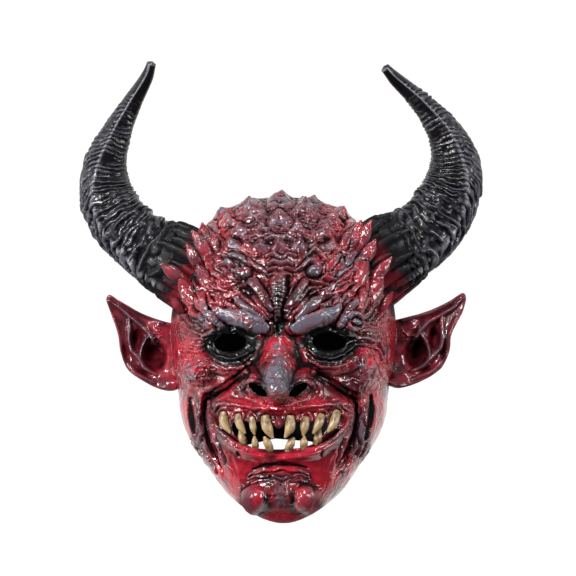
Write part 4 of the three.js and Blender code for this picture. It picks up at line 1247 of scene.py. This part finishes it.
def tooth(name, form, set_back, grow, number):
    root, middle, tip, width = form

    def place(point, forward):
        x, y = point
        depth = plain_depth(x, y)[0] + lump(np.array([x]), np.array([y]), MASSES[0])[0]
        return (x, y, depth - set_back + forward)

    half = width / 2

    def shape(t, turn, a):
        groove = 0.05 * np.cos(5 * turn + 9 * t) + 0.03 * np.cos(9 * turn - 14 * t)
        waist = 0.05 * np.sin(7 * t + number)
        return 0.96 + groove + waist

    path = [place(root, -1), place(middle, 0.5), place(tip, 0)]
    widths, depths = [half * w for w in TOOTH_WIDTHS], [half * d for d in TOOTH_DEPTHS]
    return swept(name, path, widths, depths, TOOTH_RINGS, TOOTH_SIDES, grow, shape)


# Holes, drawn in front view and cut straight back into the hollow
EYE_HOLES = [(-45, -43.5, 14, 8, 4), (42, -42.5, 15, 8, -4)]
NOSTRILS = [(-20.5, -83.5, 9.5, 3.7, -35), (14.5, -83.5, 9.5, 3.7, 35)]
MOUTH_EDGE = [
    (-41, -112), (-26, -112), (-10, -112), (-2.5, -118), (5, -112), (22, -112), (38, -111), (39, -118),
    (34, -127), (22, -133.5), (8, -135.5), (-10, -136), (-26, -134), (-37, -128), (-43, -119),
]
HOLE_FROM, HOLE_LONG = 110, 150
ELLIPSE_CORNERS, MOUTH_CORNERS = 40, 120


def plug(name, outline):
    """A prism with the outline of a hole, from a flat polygon pulled forwards."""
    form = bmesh.new()
    face = form.faces.new([form.verts.new((x, y, HOLE_FROM)) for x, y in outline])
    made = bmesh.ops.extrude_face_region(form, geom=[face])
    lifted = [v for v in made["geom"] if isinstance(v, bmesh.types.BMVert)]
    bmesh.ops.translate(form, vec=(0, 0, HOLE_LONG), verts=lifted)
    bmesh.ops.recalc_face_normals(form, faces=form.faces)
    return made_piece(name, form)


def ellipse(cx, cy, rx, ry, turn):
    a = math.radians(turn)
    out = []
    for k in range(ELLIPSE_CORNERS):
        angle = 2 * math.pi * k / ELLIPSE_CORNERS
        u, v = rx * math.cos(angle), ry * math.sin(angle)
        out.append((cx + u * math.cos(a) - v * math.sin(a), cy + u * math.sin(a) + v * math.cos(a)))
    return out


BEYOND = 600


def below_rim():
    """Everything below the cut rim of the neck opening."""
    dy, dz = RIM_CHIN[0] - RIM_BACK[0], RIM_CHIN[1] - RIM_BACK[1]
    slab = box_piece("below_rim", (-BEYOND / 2, -BEYOND, -BEYOND / 2), (BEYOND / 2, 0, BEYOND / 2))
    co = positions(slab.data)
    a = math.atan2(-dy, dz)
    turned = np.column_stack([
        co[:, 0],
        co[:, 1] * math.cos(a) - co[:, 2] * math.sin(a) + (RIM_BACK[0] + RIM_CHIN[0]) / 2,
        co[:, 1] * math.sin(a) + co[:, 2] * math.cos(a) + (RIM_BACK[1] + RIM_CHIN[1]) / 2,
    ])
    set_positions(slab.data, turned)
    return slab


SKIN_AROUND, SKIN_ALONG = 380, 360
SKIN_TRIANGLES = 190000
HOLLOW_AROUND, HOLLOW_ALONG = 60, 60
HOLLOW_INSET = WALL * 1.3  # towards the core, which lies aslant of the wall


def hollow_inside():
    return head_grid("hollow", HOLLOW_AROUND, HOLLOW_ALONG, HOLLOW_INSET)[0]


def main_skin():
    """The skin in one piece: head, ears and flames, without the hollow, the holes and the sockets."""
    skin, facing = head_grid("mask_skin_latex", SKIN_AROUND, SKIN_ALONG, 0)
    sculpt_skin(skin, facing)
    for number, form in enumerate(EARS):
        combine(skin, ear(form, number), "UNION")
    for form in FLAMES:
        combine(skin, flame(form), "UNION")
    combine(skin, hollow_inside(), "DIFFERENCE")
    combine(skin, below_rim(), "DIFFERENCE")
    for form in EYE_HOLES + NOSTRILS:
        combine(skin, plug("hole", ellipse(*form)), "DIFFERENCE")
    outline = closed_curve(MOUTH_EDGE, np.linspace(0, 1, MOUTH_CORNERS, endpoint=False))
    combine(skin, plug("mouth", [tuple(p) for p in outline]), "DIFFERENCE")
    combine(skin, box_piece("under_floor", (-BEYOND, -BEYOND, -BEYOND), (BEYOND, BEYOND, 0)), "DIFFERENCE")
    for name in HORNS:
        combine(skin, horn(name, FIT_GAP), "DIFFERENCE")
    for _, form, set_back, number in TEETH:
        combine(skin, tooth("socket", form, set_back, FIT_GAP, number), "DIFFERENCE")
    triangles = sum(len(p.vertices) - 2 for p in skin.data.polygons)
    thin = skin.modifiers.new("thin", "DECIMATE")
    thin.ratio = min(1.0, SKIN_TRIANGLES / triangles)
    apply_modifiers(skin)
    return skin


# Materials


def linear(hex_colour):
    """An sRGB hex colour as linear red, green, blue and full alpha."""
    parts = [int(hex_colour[i : i + 2], 16) / 255 for i in (1, 3, 5)]
    return [p / 12.92 if p <= 0.04045 else ((p + 0.055) / 1.055) ** 2.4 for p in parts] + [1.0]


def add(tree, kind, inputs=None, out=0, **settings):
    """Adds a shader node with its settings, values and links, and gives the wanted output."""
    node = tree.nodes.new(kind)
    for key, value in settings.items():
        setattr(node, key, value)
    for key, value in (inputs or {}).items():
        if isinstance(value, bpy.types.NodeSocket):
            tree.links.new(value, node.inputs[key])
        else:
            node.inputs[key].default_value = value
    return node.outputs[out] if node.outputs else node


def new_material(name):
    material = bpy.data.materials.new(name)
    material.use_nodes = True
    material.node_tree.nodes.clear()
    return material, material.node_tree


def new_paint(name, *layers):
    """A new material, the place on the piece, and the stored values that its paint reads."""
    material, tree = new_material(name)
    place = add(tree, "ShaderNodeTexCoord", out="Object")
    paint = {layer: add(tree, "ShaderNodeAttribute", attribute_name=layer, out="Fac") for layer in layers}
    return material, tree, place, paint


RED, DEEP_RED, BRIGHT_RED, DUSKY_RED = "#7A0F1B", "#40070F", "#9C1327", "#52202A"
WASH_AND_SHADE_BLACK, GREY_RUB, BARE_LATEX = "#050304", "#4C4A54", "#4A484E"
HORN_BLACK, HORN_GREY, KEEL_HIGHLIGHT_GREY, ROOT_RED = "#060508", "#44424B", "#6B696F", "#5E0C17"
BONE, GUM_STAIN, STREAK = "#937A57", "#46301A", "#5E4729"


def patches(tree, place, size_mm, low, high, detail=3.0):
    """A noise that runs from 0 to 1 between two levels, with patches of about the given size."""
    spread = {"Vector": place, "Scale": 1000 / size_mm, "Detail": detail}
    spots = add(tree, "ShaderNodeTexNoise", spread, "Fac")
    limits = {"Value": spots, "From Min": low, "From Max": high}
    return add(tree, "ShaderNodeMapRange", limits, interpolation_type="SMOOTHSTEP")


def both(tree, a, b):
    """What two masks share."""
    return add(tree, "ShaderNodeMath", {0: a, 1: b}, operation="MULTIPLY", use_clamp=True)


def layered(tree, base, *coats):
    """Paints coats over a base colour, each where its mask has it."""
    for mask, colour in coats:
        base = add(tree, "ShaderNodeMix", {0: mask, 6: base, 7: linear(colour)}, 2, data_type="RGBA")
    return base


def gloss(tree, place, deep, colour, roughness, varnish, grit_mm, folds=()):
    """A painted rubber surface under clear varnish, with a fine uneven skin, duller in the creases."""
    grit = add(tree, "ShaderNodeTexNoise", {"Vector": place, "Scale": 1000 / grit_mm, "Detail": 3.0}, "Fac")
    normal = add(tree, "ShaderNodeBump", {"Height": grit, "Strength": 0.25, "Distance": 0.0004})
    for height, high_mm in folds:
        bump = {"Height": height, "Strength": 1.0, "Distance": high_mm / 1000, "Normal": normal}
        normal = add(tree, "ShaderNodeBump", bump)
    shine = add(tree, "ShaderNodeMapRange", {"Value": deep, "To Min": 1.0, "To Max": 0.0})
    specular = add(tree, "ShaderNodeMapRange", {"Value": deep, "To Min": 0.3, "To Max": 0.06})
    rougher = add(tree, "ShaderNodeMath", {0: deep, 1: 0.35, 2: roughness}, operation="MULTIPLY_ADD")
    shader = add(tree, "ShaderNodeBsdfPrincipled", {
        "Base Color": colour, "Roughness": rougher, "Normal": normal, "Specular IOR Level": specular,
        "Coat Weight": both(tree, shine, varnish), "Coat Roughness": 0.06, "Coat Normal": normal,
    })
    add(tree, "ShaderNodeOutputMaterial", {"Surface": shader})


def fine_lines(tree, paint, step_mm):
    """Fine folds round the knobs of the scalp, as a height from 0 to 1."""
    half_turns = {0: paint["round_knob"], 1: math.pi / step_mm}
    turns = add(tree, "ShaderNodeMath", half_turns, operation="MULTIPLY")
    wave = add(tree, "ShaderNodeMath", {0: turns}, operation="SINE")
    return both(tree, add(tree, "ShaderNodeMath", {0: wave}, operation="ABSOLUTE"), paint["lined"])


def crumpled(tree, place, paint, size_mm):
    """Thin winding folds of the skin, as a height from 0 to 1."""
    winding = {"Vector": place, "Scale": 1000 / size_mm, "Detail": 1.0, "Distortion": 1.0}
    fold = add(tree, "ShaderNodeTexNoise", winding, "Fac")
    off_middle = add(tree, "ShaderNodeMath", {0: fold, 1: 0.5}, operation="SUBTRACT")
    away = add(tree, "ShaderNodeMath", {0: off_middle}, operation="ABSOLUTE")
    limits = {"Value": away, "From Min": 0.0, "From Max": 0.11, "To Min": 1.0, "To Max": 0.0}
    crest = add(tree, "ShaderNodeMapRange", limits, interpolation_type="SMOOTHSTEP")
    return both(tree, crest, paint["crumpled"])


def painted_latex():
    """Cast latex under glossy paint: deep red, black washed into the creases with painted shade, grey
    rubbed over the tops and painted sheen on the ears.
    """
    material, tree, place, paint = new_paint(
        "painted_latex",
        "lively", "dusk", "rub", "wash", "inner", "deep", "round_knob", "lined", "crumpled",
    )
    colour = layered(
        tree, linear(DEEP_RED),
        (patches(tree, place, 18, 0.4, 0.6), RED),
        (both(tree, paint["lively"], patches(tree, place, 14, 0.3, 0.6)), BRIGHT_RED),
        (both(tree, paint["dusk"], 0.8), DUSKY_RED),
        (both(tree, paint["rub"], patches(tree, place, 9, 0.1, 0.6)), GREY_RUB),
        # washed-in black with painted shade in creases, grooves and beside the chin lobes, and the black
        # paint of the sockets
        (paint["wash"], WASH_AND_SHADE_BLACK),
        (paint["inner"], BARE_LATEX),
    )
    uneven = {"Value": patches(tree, place, 4, 0.3, 0.7), "To Min": 0.2, "To Max": 0.34}
    roughness = add(tree, "ShaderNodeMapRange", uneven)
    folds = [(fine_lines(tree, paint, 2.6), 0.3), (crumpled(tree, place, paint, 12.0), 1.6)]
    gloss(tree, place, paint["deep"], colour, roughness, varnish=0.8, grit_mm=1.3, folds=folds)
    return material


def horn_rubber():
    """Black rubber of the horns, with grey rubbed over the rings, a painted highlight along the keel,
    painted sheen on the outer side and some red at their roots.
    """
    material, tree, place, paint = new_paint("horn_rubber_painted", "rub", "keel", "red", "deep")
    colour = layered(
        tree, linear(HORN_BLACK),
        # grey over the ring crests, and over the outer side as painted sheen
        (both(tree, paint["rub"], patches(tree, place, 5, 0.3, 0.6, 5.0)), HORN_GREY),
        # a grey line painted along the keel as a highlight, broken into glints at the ring crests
        (both(tree, paint["keel"], 0.7), KEEL_HIGHLIGHT_GREY),
        (both(tree, paint["red"], patches(tree, place, 10, 0.4, 0.54)), ROOT_RED),
    )
    gloss(tree, place, paint["deep"], colour, roughness=0.29, varnish=0.14, grit_mm=1.4)
    return material


def tooth_resin():
    """Cast resin teeth, bone coloured with brown stains towards the gum."""
    material, tree, place, paint = new_paint("tooth_resin_stained", "root")
    colour = layered(
        tree, linear(BONE),
        (both(tree, paint["root"], patches(tree, place, 3.0, 0.3, 0.7)), GUM_STAIN),
        (both(tree, patches(tree, place, 2.2, 0.5, 0.72), 0.55), STREAK),
    )
    shader = add(tree, "ShaderNodeBsdfPrincipled", {"Base Color": colour, "Roughness": 0.38})
    add(tree, "ShaderNodeOutputMaterial", {"Surface": shader})
    return material


# Zones of paint as seen: middle, half sizes, turn and strength
GREY_ZONES = [
    (-3, -62, 11, 26, 0, 2.0), (-3, -78, 17, 12, 0, 2.6), (-79, -68, 15, 14, 0, 1.4),
    (76, -68, 15, 14, 0, 1.4), (-1, -177, 9, 15, 0, 1.4), (-72, -128, 8, 30, -10, 0.4),
    (70, -128, 8, 30, 10, 0.4), (-42, 26, 16, 10, 20, 1.2), (62, 30, 20, 14, 0, 1.2),
    (64, -20, 14, 14, 0, 1.2), (-68, -18, 12, 16, 0, 1.0),
]
FULL_GREY_ZONES = [
    (-4, -76, 21, 18, 0, 1.4), (-3, -60, 7, 18, 0, 0.8),
]
# Zones where little washed-in black and painted shade stays in the creases
CLEAN_ZONES = [
    (0, -96, 60, 14, 0, 1.2), (0, -146, 54, 16, 0, 1.2), (-84, -40, 14, 24, 0, 0.6),
    (84, -36, 14, 24, 0, 0.6), (-76, -66, 24, 22, 0, 0.7), (75, -66, 24, 22, 0, 0.7),
    (-46, -81, 18, 9, -35, 0.8), (45, -81, 18, 9, 35, 0.8), (-63, -120, 11, 38, 0, 0.7),
    (61, -120, 11, 38, 0, 0.7), (-80, -112, 20, 50, 0, 0.75), (80, -112, 20, 50, 0, 0.75),
    (-56, -170, 20, 34, -40, 0.7), (56, -170, 20, 34, 40, 0.7), (-3, -72, 18, 22, 0, 0.5),
]
CRUMPLED_ZONES = [
    (-76, -64, 26, 24, 0, 1.0), (75, -64, 26, 24, 0, 1.0), (-3, -62, 18, 18, 0, 0.3),
    (-108, -39, 12, 20, -30, 1.0), (112, -38, 12, 20, 30, 1.0),
]
SMOOTH_ZONES = [
    (-44, -48, 32, 20, 0, 1.0), (43, -48, 32, 20, 0, 1.0), (0, -148, 60, 30, 0, 0.5),
]
# Zones without varnish
DULL_ZONES = [
    (-4, -171, 16, 12, 0, 0.9), (0, -197, 50, 16, 0, 1.0), (-30, -186, 16, 16, 0, 1.1),
    (28, -186, 14, 16, 0, 1.1), (-24, -44, 8, 9, 0, 0.9), (-34, -22, 26, 11, -20, 0.35),
    (31, -22, 26, 11, 20, 0.35), (21, -44, 8, 9, 0, 0.9), (-95, -8, 9, 30, 0, 1.4), (98, -6, 9, 30, 0, 1.4),
    (-44, -50, 30, 14, 0, 0.6), (43, -50, 30, 14, 0, 0.6), (-68, -112, 8, 30, 0, 0.9),
    (67, -112, 8, 30, 0, 0.9), (-4, -139, 44, 7, 0, 1.2), (53, -110, 8, 8, 0, 1.2),
    (-56, -110, 8, 8, 0, 1.2), (-97, -62, 6, 22, 0, 0.8), (100, -60, 6, 22, 0, 0.8),
    (-60, -77, 11, 10, 0, 0.9), (46, -86, 17, 9, -30, 0.9),
]
# Zones of black paint; the two beside the chin lobes are painted shadow in the channels there
BLACK_AND_SHADE_ZONES = [
    (-44, -43.5, 29, 17, 4, 6.0), (43, -42.5, 29, 17, -4, 6.0), (-2.5, -4, 9, 20, 0, 0.8),
    (-17, -2, 8, 18, 40, 0.5), (12, -2, 8, 18, -40, 0.5), (-44, -56, 28, 12, 0, 1.2),
    (43, -55, 28, 12, 0, 1.2), (-3, -30, 8, 14, 0, 1.4), (-20, -84, 11, 6.5, -30, 9.0),
    (14, -84, 11, 6.5, 30, 9.0), (0, 8, 66, 32, 0, 0.4), (-5, -137.5, 38, 3.5, 0, 0.8),
    (-92, 22, 22, 40, 30, 1.6), (94, 26, 22, 40, -30, 1.6), (-95, -6, 8, 26, 0, 1.3),
    (98, -4, 8, 26, 0, 1.3), (0, -118, 56, 8, 0, 0.5), (-13.5, -180, 5, 15, 0, 0.9),
    (10, -179, 4.5, 14, 0, 0.9), (-23, -43, 7, 7, 0, 1.6), (20, -43, 7, 7, 0, 1.6),
    (0, -160, 26, 6, 0, 0.45),
]
DUSKY_ZONES = [
    (-71, -126, 12, 34, -8, 2.2), (69, -126, 12, 34, 8, 2.2), (-31, -180, 10, 14, 0, 0.9),
    (29, -182, 9, 12, 0, 0.6), (-125, -44, 44, 50, 0, 0.4), (130, -44, 44, 50, 0, 0.4),
    (0, 62, 56, 38, 0, 2.2), (0, 30, 40, 20, 0, 0.4), (0, -162, 30, 9, 0, 0.8),
]
LIVELY_ZONES = [
    (0, -96, 60, 16, 0, 1.3), (0, -140, 56, 26, 0, 1.4), (-2, -46, 14, 13, 0, 1.4), (0, 24, 30, 20, 0, 0.6),
    (-52, 68, 28, 24, 0, 0.7), (53, 68, 28, 24, 0, 0.7), (-20, -180, 10, 14, 0, 1.4),
    (0, -198, 40, 12, 0, 1.2), (18, -180, 10, 14, 0, 2.0), (-62, 12, 32, 32, 30, 0.6),
    (64, 14, 32, 32, -30, 0.5), (-117, -46, 50, 50, 0, 1.3), (120, -46, 50, 50, 0, 1.1),
    (-84, -60, 24, 34, 0, 1.4), (84, -60, 24, 34, 0, 1.0), (-86, -110, 14, 40, 0, 3.0),
    (86, -110, 14, 40, 0, 3.0), (-66, -160, 16, 30, -30, 3.0), (66, -160, 16, 30, 30, 3.0),
    (-82, -1, 8, 20, 30, 3.0), (82, 2, 8, 20, -30, 3.0), (-110, -35, 14, 16, 0, 1.6),
    (114, -35, 14, 16, 0, 1.6), (-46, -160, 26, 34, 30, 0.8), (44, -160, 26, 34, -30, 0.7),
]


def on_flames(x, y):
    """Where the flame-like scales lie in front view, from 0 to 1."""
    cover = np.zeros(x.shape)
    for root_x, root_y, tip_x, tip_y, half in FLAMES:
        d, t = to_line(x, y, [(root_x, root_y), (tip_x, tip_y)])
        cover = np.maximum(cover, ease((1.15 - d / (half * between(FLAME_WIDTHS, t))) / 0.3))
    return cover


EARS_MIDDLE, EARS_FROM = 3, 92  # as seen


def ear_paint(co, on_ear):
    """Where the ears have a grey ridge, a black hollow or a rim, and how dark they are: the black hollows
    and the dark beside the ridges are washed-in black with painted shade.
    """
    x, y = co[:, 0], co[:, 1]
    ridge, hollow, rim, dark = np.zeros((4, len(co)))
    for _, outline, ridges, hollows in EARS:
        from_edge, _ = to_line(x, y, outline)
        rim = np.maximum(rim, on_ear * ease((6 - from_edge) / 4))
        thin_ridges = [form for form in ridges if max(form[1]) < 4]
        on_ridge = on_ear * ease(highest(x, y, thin_ridges, cord) / 4 - 0.1)
        beside = on_ear * ease(highest(x, y, widened(thin_ridges, 2.5), cord) / 2.5)
        sunk = on_ear * ease(-lowest(x, y, hollows, lump) / 3.4)
        ridge = np.maximum(ridge, 0.85 * on_ridge)
        hollow = np.maximum(hollow, sunk)
        black = sunk * (0.8 + 0.2 * noise(co, 4.0, 90))
        # black in the hollows and darker beside the ridges: washed-in black with painted shade
        dark = np.maximum.reduce([dark, 0.6 * beside * (1 - on_ridge), black])
    shade = on_ear * (1 - ridge) * ease((noise(co, 7.0, 91) + 0.1) / 0.5)
    return ridge, hollow, rim, np.maximum(dark, 0.6 * shade)


def seen_inside(co, n, x, y):
    """Which points lie on the wall of the hollow."""
    to_core = np.sum(towards_core(co, CORE_DEPTH) * n, axis=1) > 0.35
    return to_core & (co[:, 2] < plain_depth(x, y) - 2) & ((n[:, 2] < 0.15) | (co[:, 2] < FAR_IN))


def paint_skin(piece):
    """Lays down where the grey, the black, the reds, the dull and the crumpled places are."""
    mesh = piece.data
    co, n = positions(mesh), normals(mesh)
    x, y = as_seen(co)
    fine, broad = standing_out(co, n, mesh, 5), standing_out(co, n, mesh, 40)
    flat, rub, in_trench = np.zeros((3, len(co)))
    full_grey = zone(x, y, FULL_GREY_ZONES)
    round_knob, lined = lay_folds(flat, rub, full_grey, in_trench, x, y)
    on_ear = ease((np.abs(x - EARS_MIDDLE) - EARS_FROM) / 8)
    ear_ridge, ear_hollow, ear_rim, ear_dark = ear_paint(co, on_ear)
    flame_here = on_flames(co[:, 0], co[:, 1])
    rub = np.maximum(rub, zone(x, y, GREY_ZONES)) * (1 - 0.7 * flame_here)
    dark = np.maximum.reduce([ear_dark, in_trench, zone(x, y, BLACK_AND_SHADE_ZONES) * (1 - 0.9 * flame_here)])
    clean = zone(x, y, CLEAN_ZONES)
    # Black washed into the hollows of the surface, with painted shade there
    crease_shade = ease(-1.7 * fine - 0.6 * broad) * (1 - clean) * (1 - 0.8 * on_ear)
    brushed = rub * clamp01(0.45 + 1.2 * fine + 0.5 * broad)
    brushed += 0.25 * clamp01(1.5 * fine + 0.5 * broad - 0.25) * (1 - clean)
    brushed *= clamp01(0.6 + 1.6 * strands(co, 2.4, 11) + 0.9 * fine)
    # Grey laid over the ears as painted sheen
    ear_sheen = 0.22 * on_ear * (1 - ear_hollow)
    dull = [crease_shade, zone(x, y, DULL_ZONES), ear_hollow, 0.55 * ear_rim, 1.4 * in_trench]
    lively = zone(x, y, LIVELY_ZONES) * (1 - 0.5 * flame_here)
    crumpled_here = 0.2 + zone(x, y, CRUMPLED_ZONES) - zone(x, y, SMOOTH_ZONES) - 0.3 * on_ear
    outer_trench = (in_trench >= 0.05) & (co[:, 2] >= FAR_IN)
    store(
        mesh, round_knob=round_knob, lined=lined, wash=np.maximum(crease_shade, dark),
        rub=clamp01(np.maximum.reduce([brushed, full_grey, ear_ridge, ear_sheen])),
        dusk=np.maximum(zone(x, y, DUSKY_ZONES) * (1 - 0.4 * flame_here), 0.35 * ear_rim),
        lively=np.maximum.reduce([lively, 0.35 * flame_here, 0.5 * ear_rim]),
        crumpled=clamp01(crumpled_here), deep=clamp01(np.maximum.reduce(dull)),
        inner=seen_inside(co, n, x, y) & (on_ear < 0.5) & ~outer_trench,
    )


def paint_horn(piece):
    mesh = piece.data
    co, n = positions(mesh), normals(mesh)
    fine, broad = standing_out(co, n, mesh, 6), standing_out(co, n, mesh, 50)
    collar, outer = stored(mesh, "collar"), stored(mesh, "outer")
    # Grey over the ring crests, with more grey on the outer side as painted sheen; duller in the hollows
    # and at the collar
    store(
        mesh, rub=ease(1.5 * fine + 0.4 * broad - 0.1 + 0.4 * outer) * (1 - collar),
        deep=np.maximum(ease(-1.2 * fine - 0.5 * broad), 0.6 * collar),
    )


# Making


def to_metres(piece):
    set_positions(piece.data, positions(piece.data) * MM)
    for face in piece.data.polygons:
        face.use_smooth = True


def make_camera():
    camera = bpy.data.objects.new("camera", bpy.data.cameras.new("camera"))
    bpy.context.scene.collection.objects.link(camera)
    camera.location = (CAMERA_OVER[0] * MM, CAMERA_OVER[1] * MM, (FACE_PLANE + CAMERA_ABOVE_FACE) * MM)
    camera.data.sensor_width = SENSOR
    camera.data.lens = SENSOR * CAMERA_ABOVE_FACE / VIEW_WIDE
    camera.data.clip_end = 20
    bpy.context.scene.camera = camera


LIGHT_AIM = (0, 0, 0.12)


def make_light(name, place, size, power):
    light = bpy.data.lights.new(name, "AREA")
    light.shape = "RECTANGLE"
    light.size, light.size_y = size
    light.energy = power
    lamp = bpy.data.objects.new(name, light)
    bpy.context.scene.collection.objects.link(lamp)
    lamp.location = place
    lamp.rotation_euler = (Vector(LIGHT_AIM) - Vector(place)).to_track_quat("-Z", "Y").to_euler()


def make_studio():
    make_light("key_box", (-0.75, 0.65, 1.45), (0.25, 0.34), 38)
    make_light("top_box", (0.25, 1.1, 1.0), (0.5, 0.12), 8)
    make_light("right_strip", (1.15, 0.15, 0.75), (0.3, 0.8), 14)
    make_light("left_strip", (-1.2, -0.1, 0.7), (0.3, 0.8), 15)
    world = bpy.data.worlds.new("studio")
    bpy.context.scene.world = world
    world.use_nodes = True
    world.node_tree.nodes["Background"].inputs["Color"].default_value = (1, 1, 1, 1)
    world.node_tree.nodes["Background"].inputs["Strength"].default_value = 0.06
    floor = box_piece("table_top", (-3, -3, -0.02), (3, 3, 0))
    material, tree = new_material("white_table")
    glow = add(tree, "ShaderNodeEmission", {"Color": (1, 1, 1, 1), "Strength": 1.05})
    add(tree, "ShaderNodeOutputMaterial", {"Surface": glow})
    floor.data.materials.append(material)
    bpy.context.scene.view_settings.view_transform = "Standard"


def fit_in_box(piece):
    """Keeps the last fraction of a millimetre of the folds inside the solid's box."""
    low, high = (np.array(corner) / MM for corner in cad_box)
    set_positions(piece.data, np.clip(positions(piece.data), low + 0.02, high - 0.02))


def hand_over(piece, node, material):
    fit_in_box(piece)
    to_metres(piece)
    piece.data.materials.clear()
    piece.data.materials.append(material)
    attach(piece, "root")
    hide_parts(node)


make_camera()
make_studio()
skin = main_skin()
paint_skin(skin)
hand_over(skin, "mask_skin", painted_latex())

horn_material = horn_rubber()
for name in HORNS:
    casting = horn(name, 0.0)
    combine(casting, hollow_inside(), "DIFFERENCE")
    paint_horn(casting)
    hand_over(casting, name, horn_material)


tooth_material = tooth_resin()
for name, form, set_back, number in TEETH:
    casting = tooth(name + "_cast", form, set_back, 0.0, number)
    (_, root_y), _, (_, tip_y), _ = form
    from_tip = (positions(casting.data)[:, 1] - tip_y) / (root_y - tip_y)
    store(casting.data, root=ease((from_tip - 0.35) / 0.5))
    hand_over(casting, name, tooth_material)
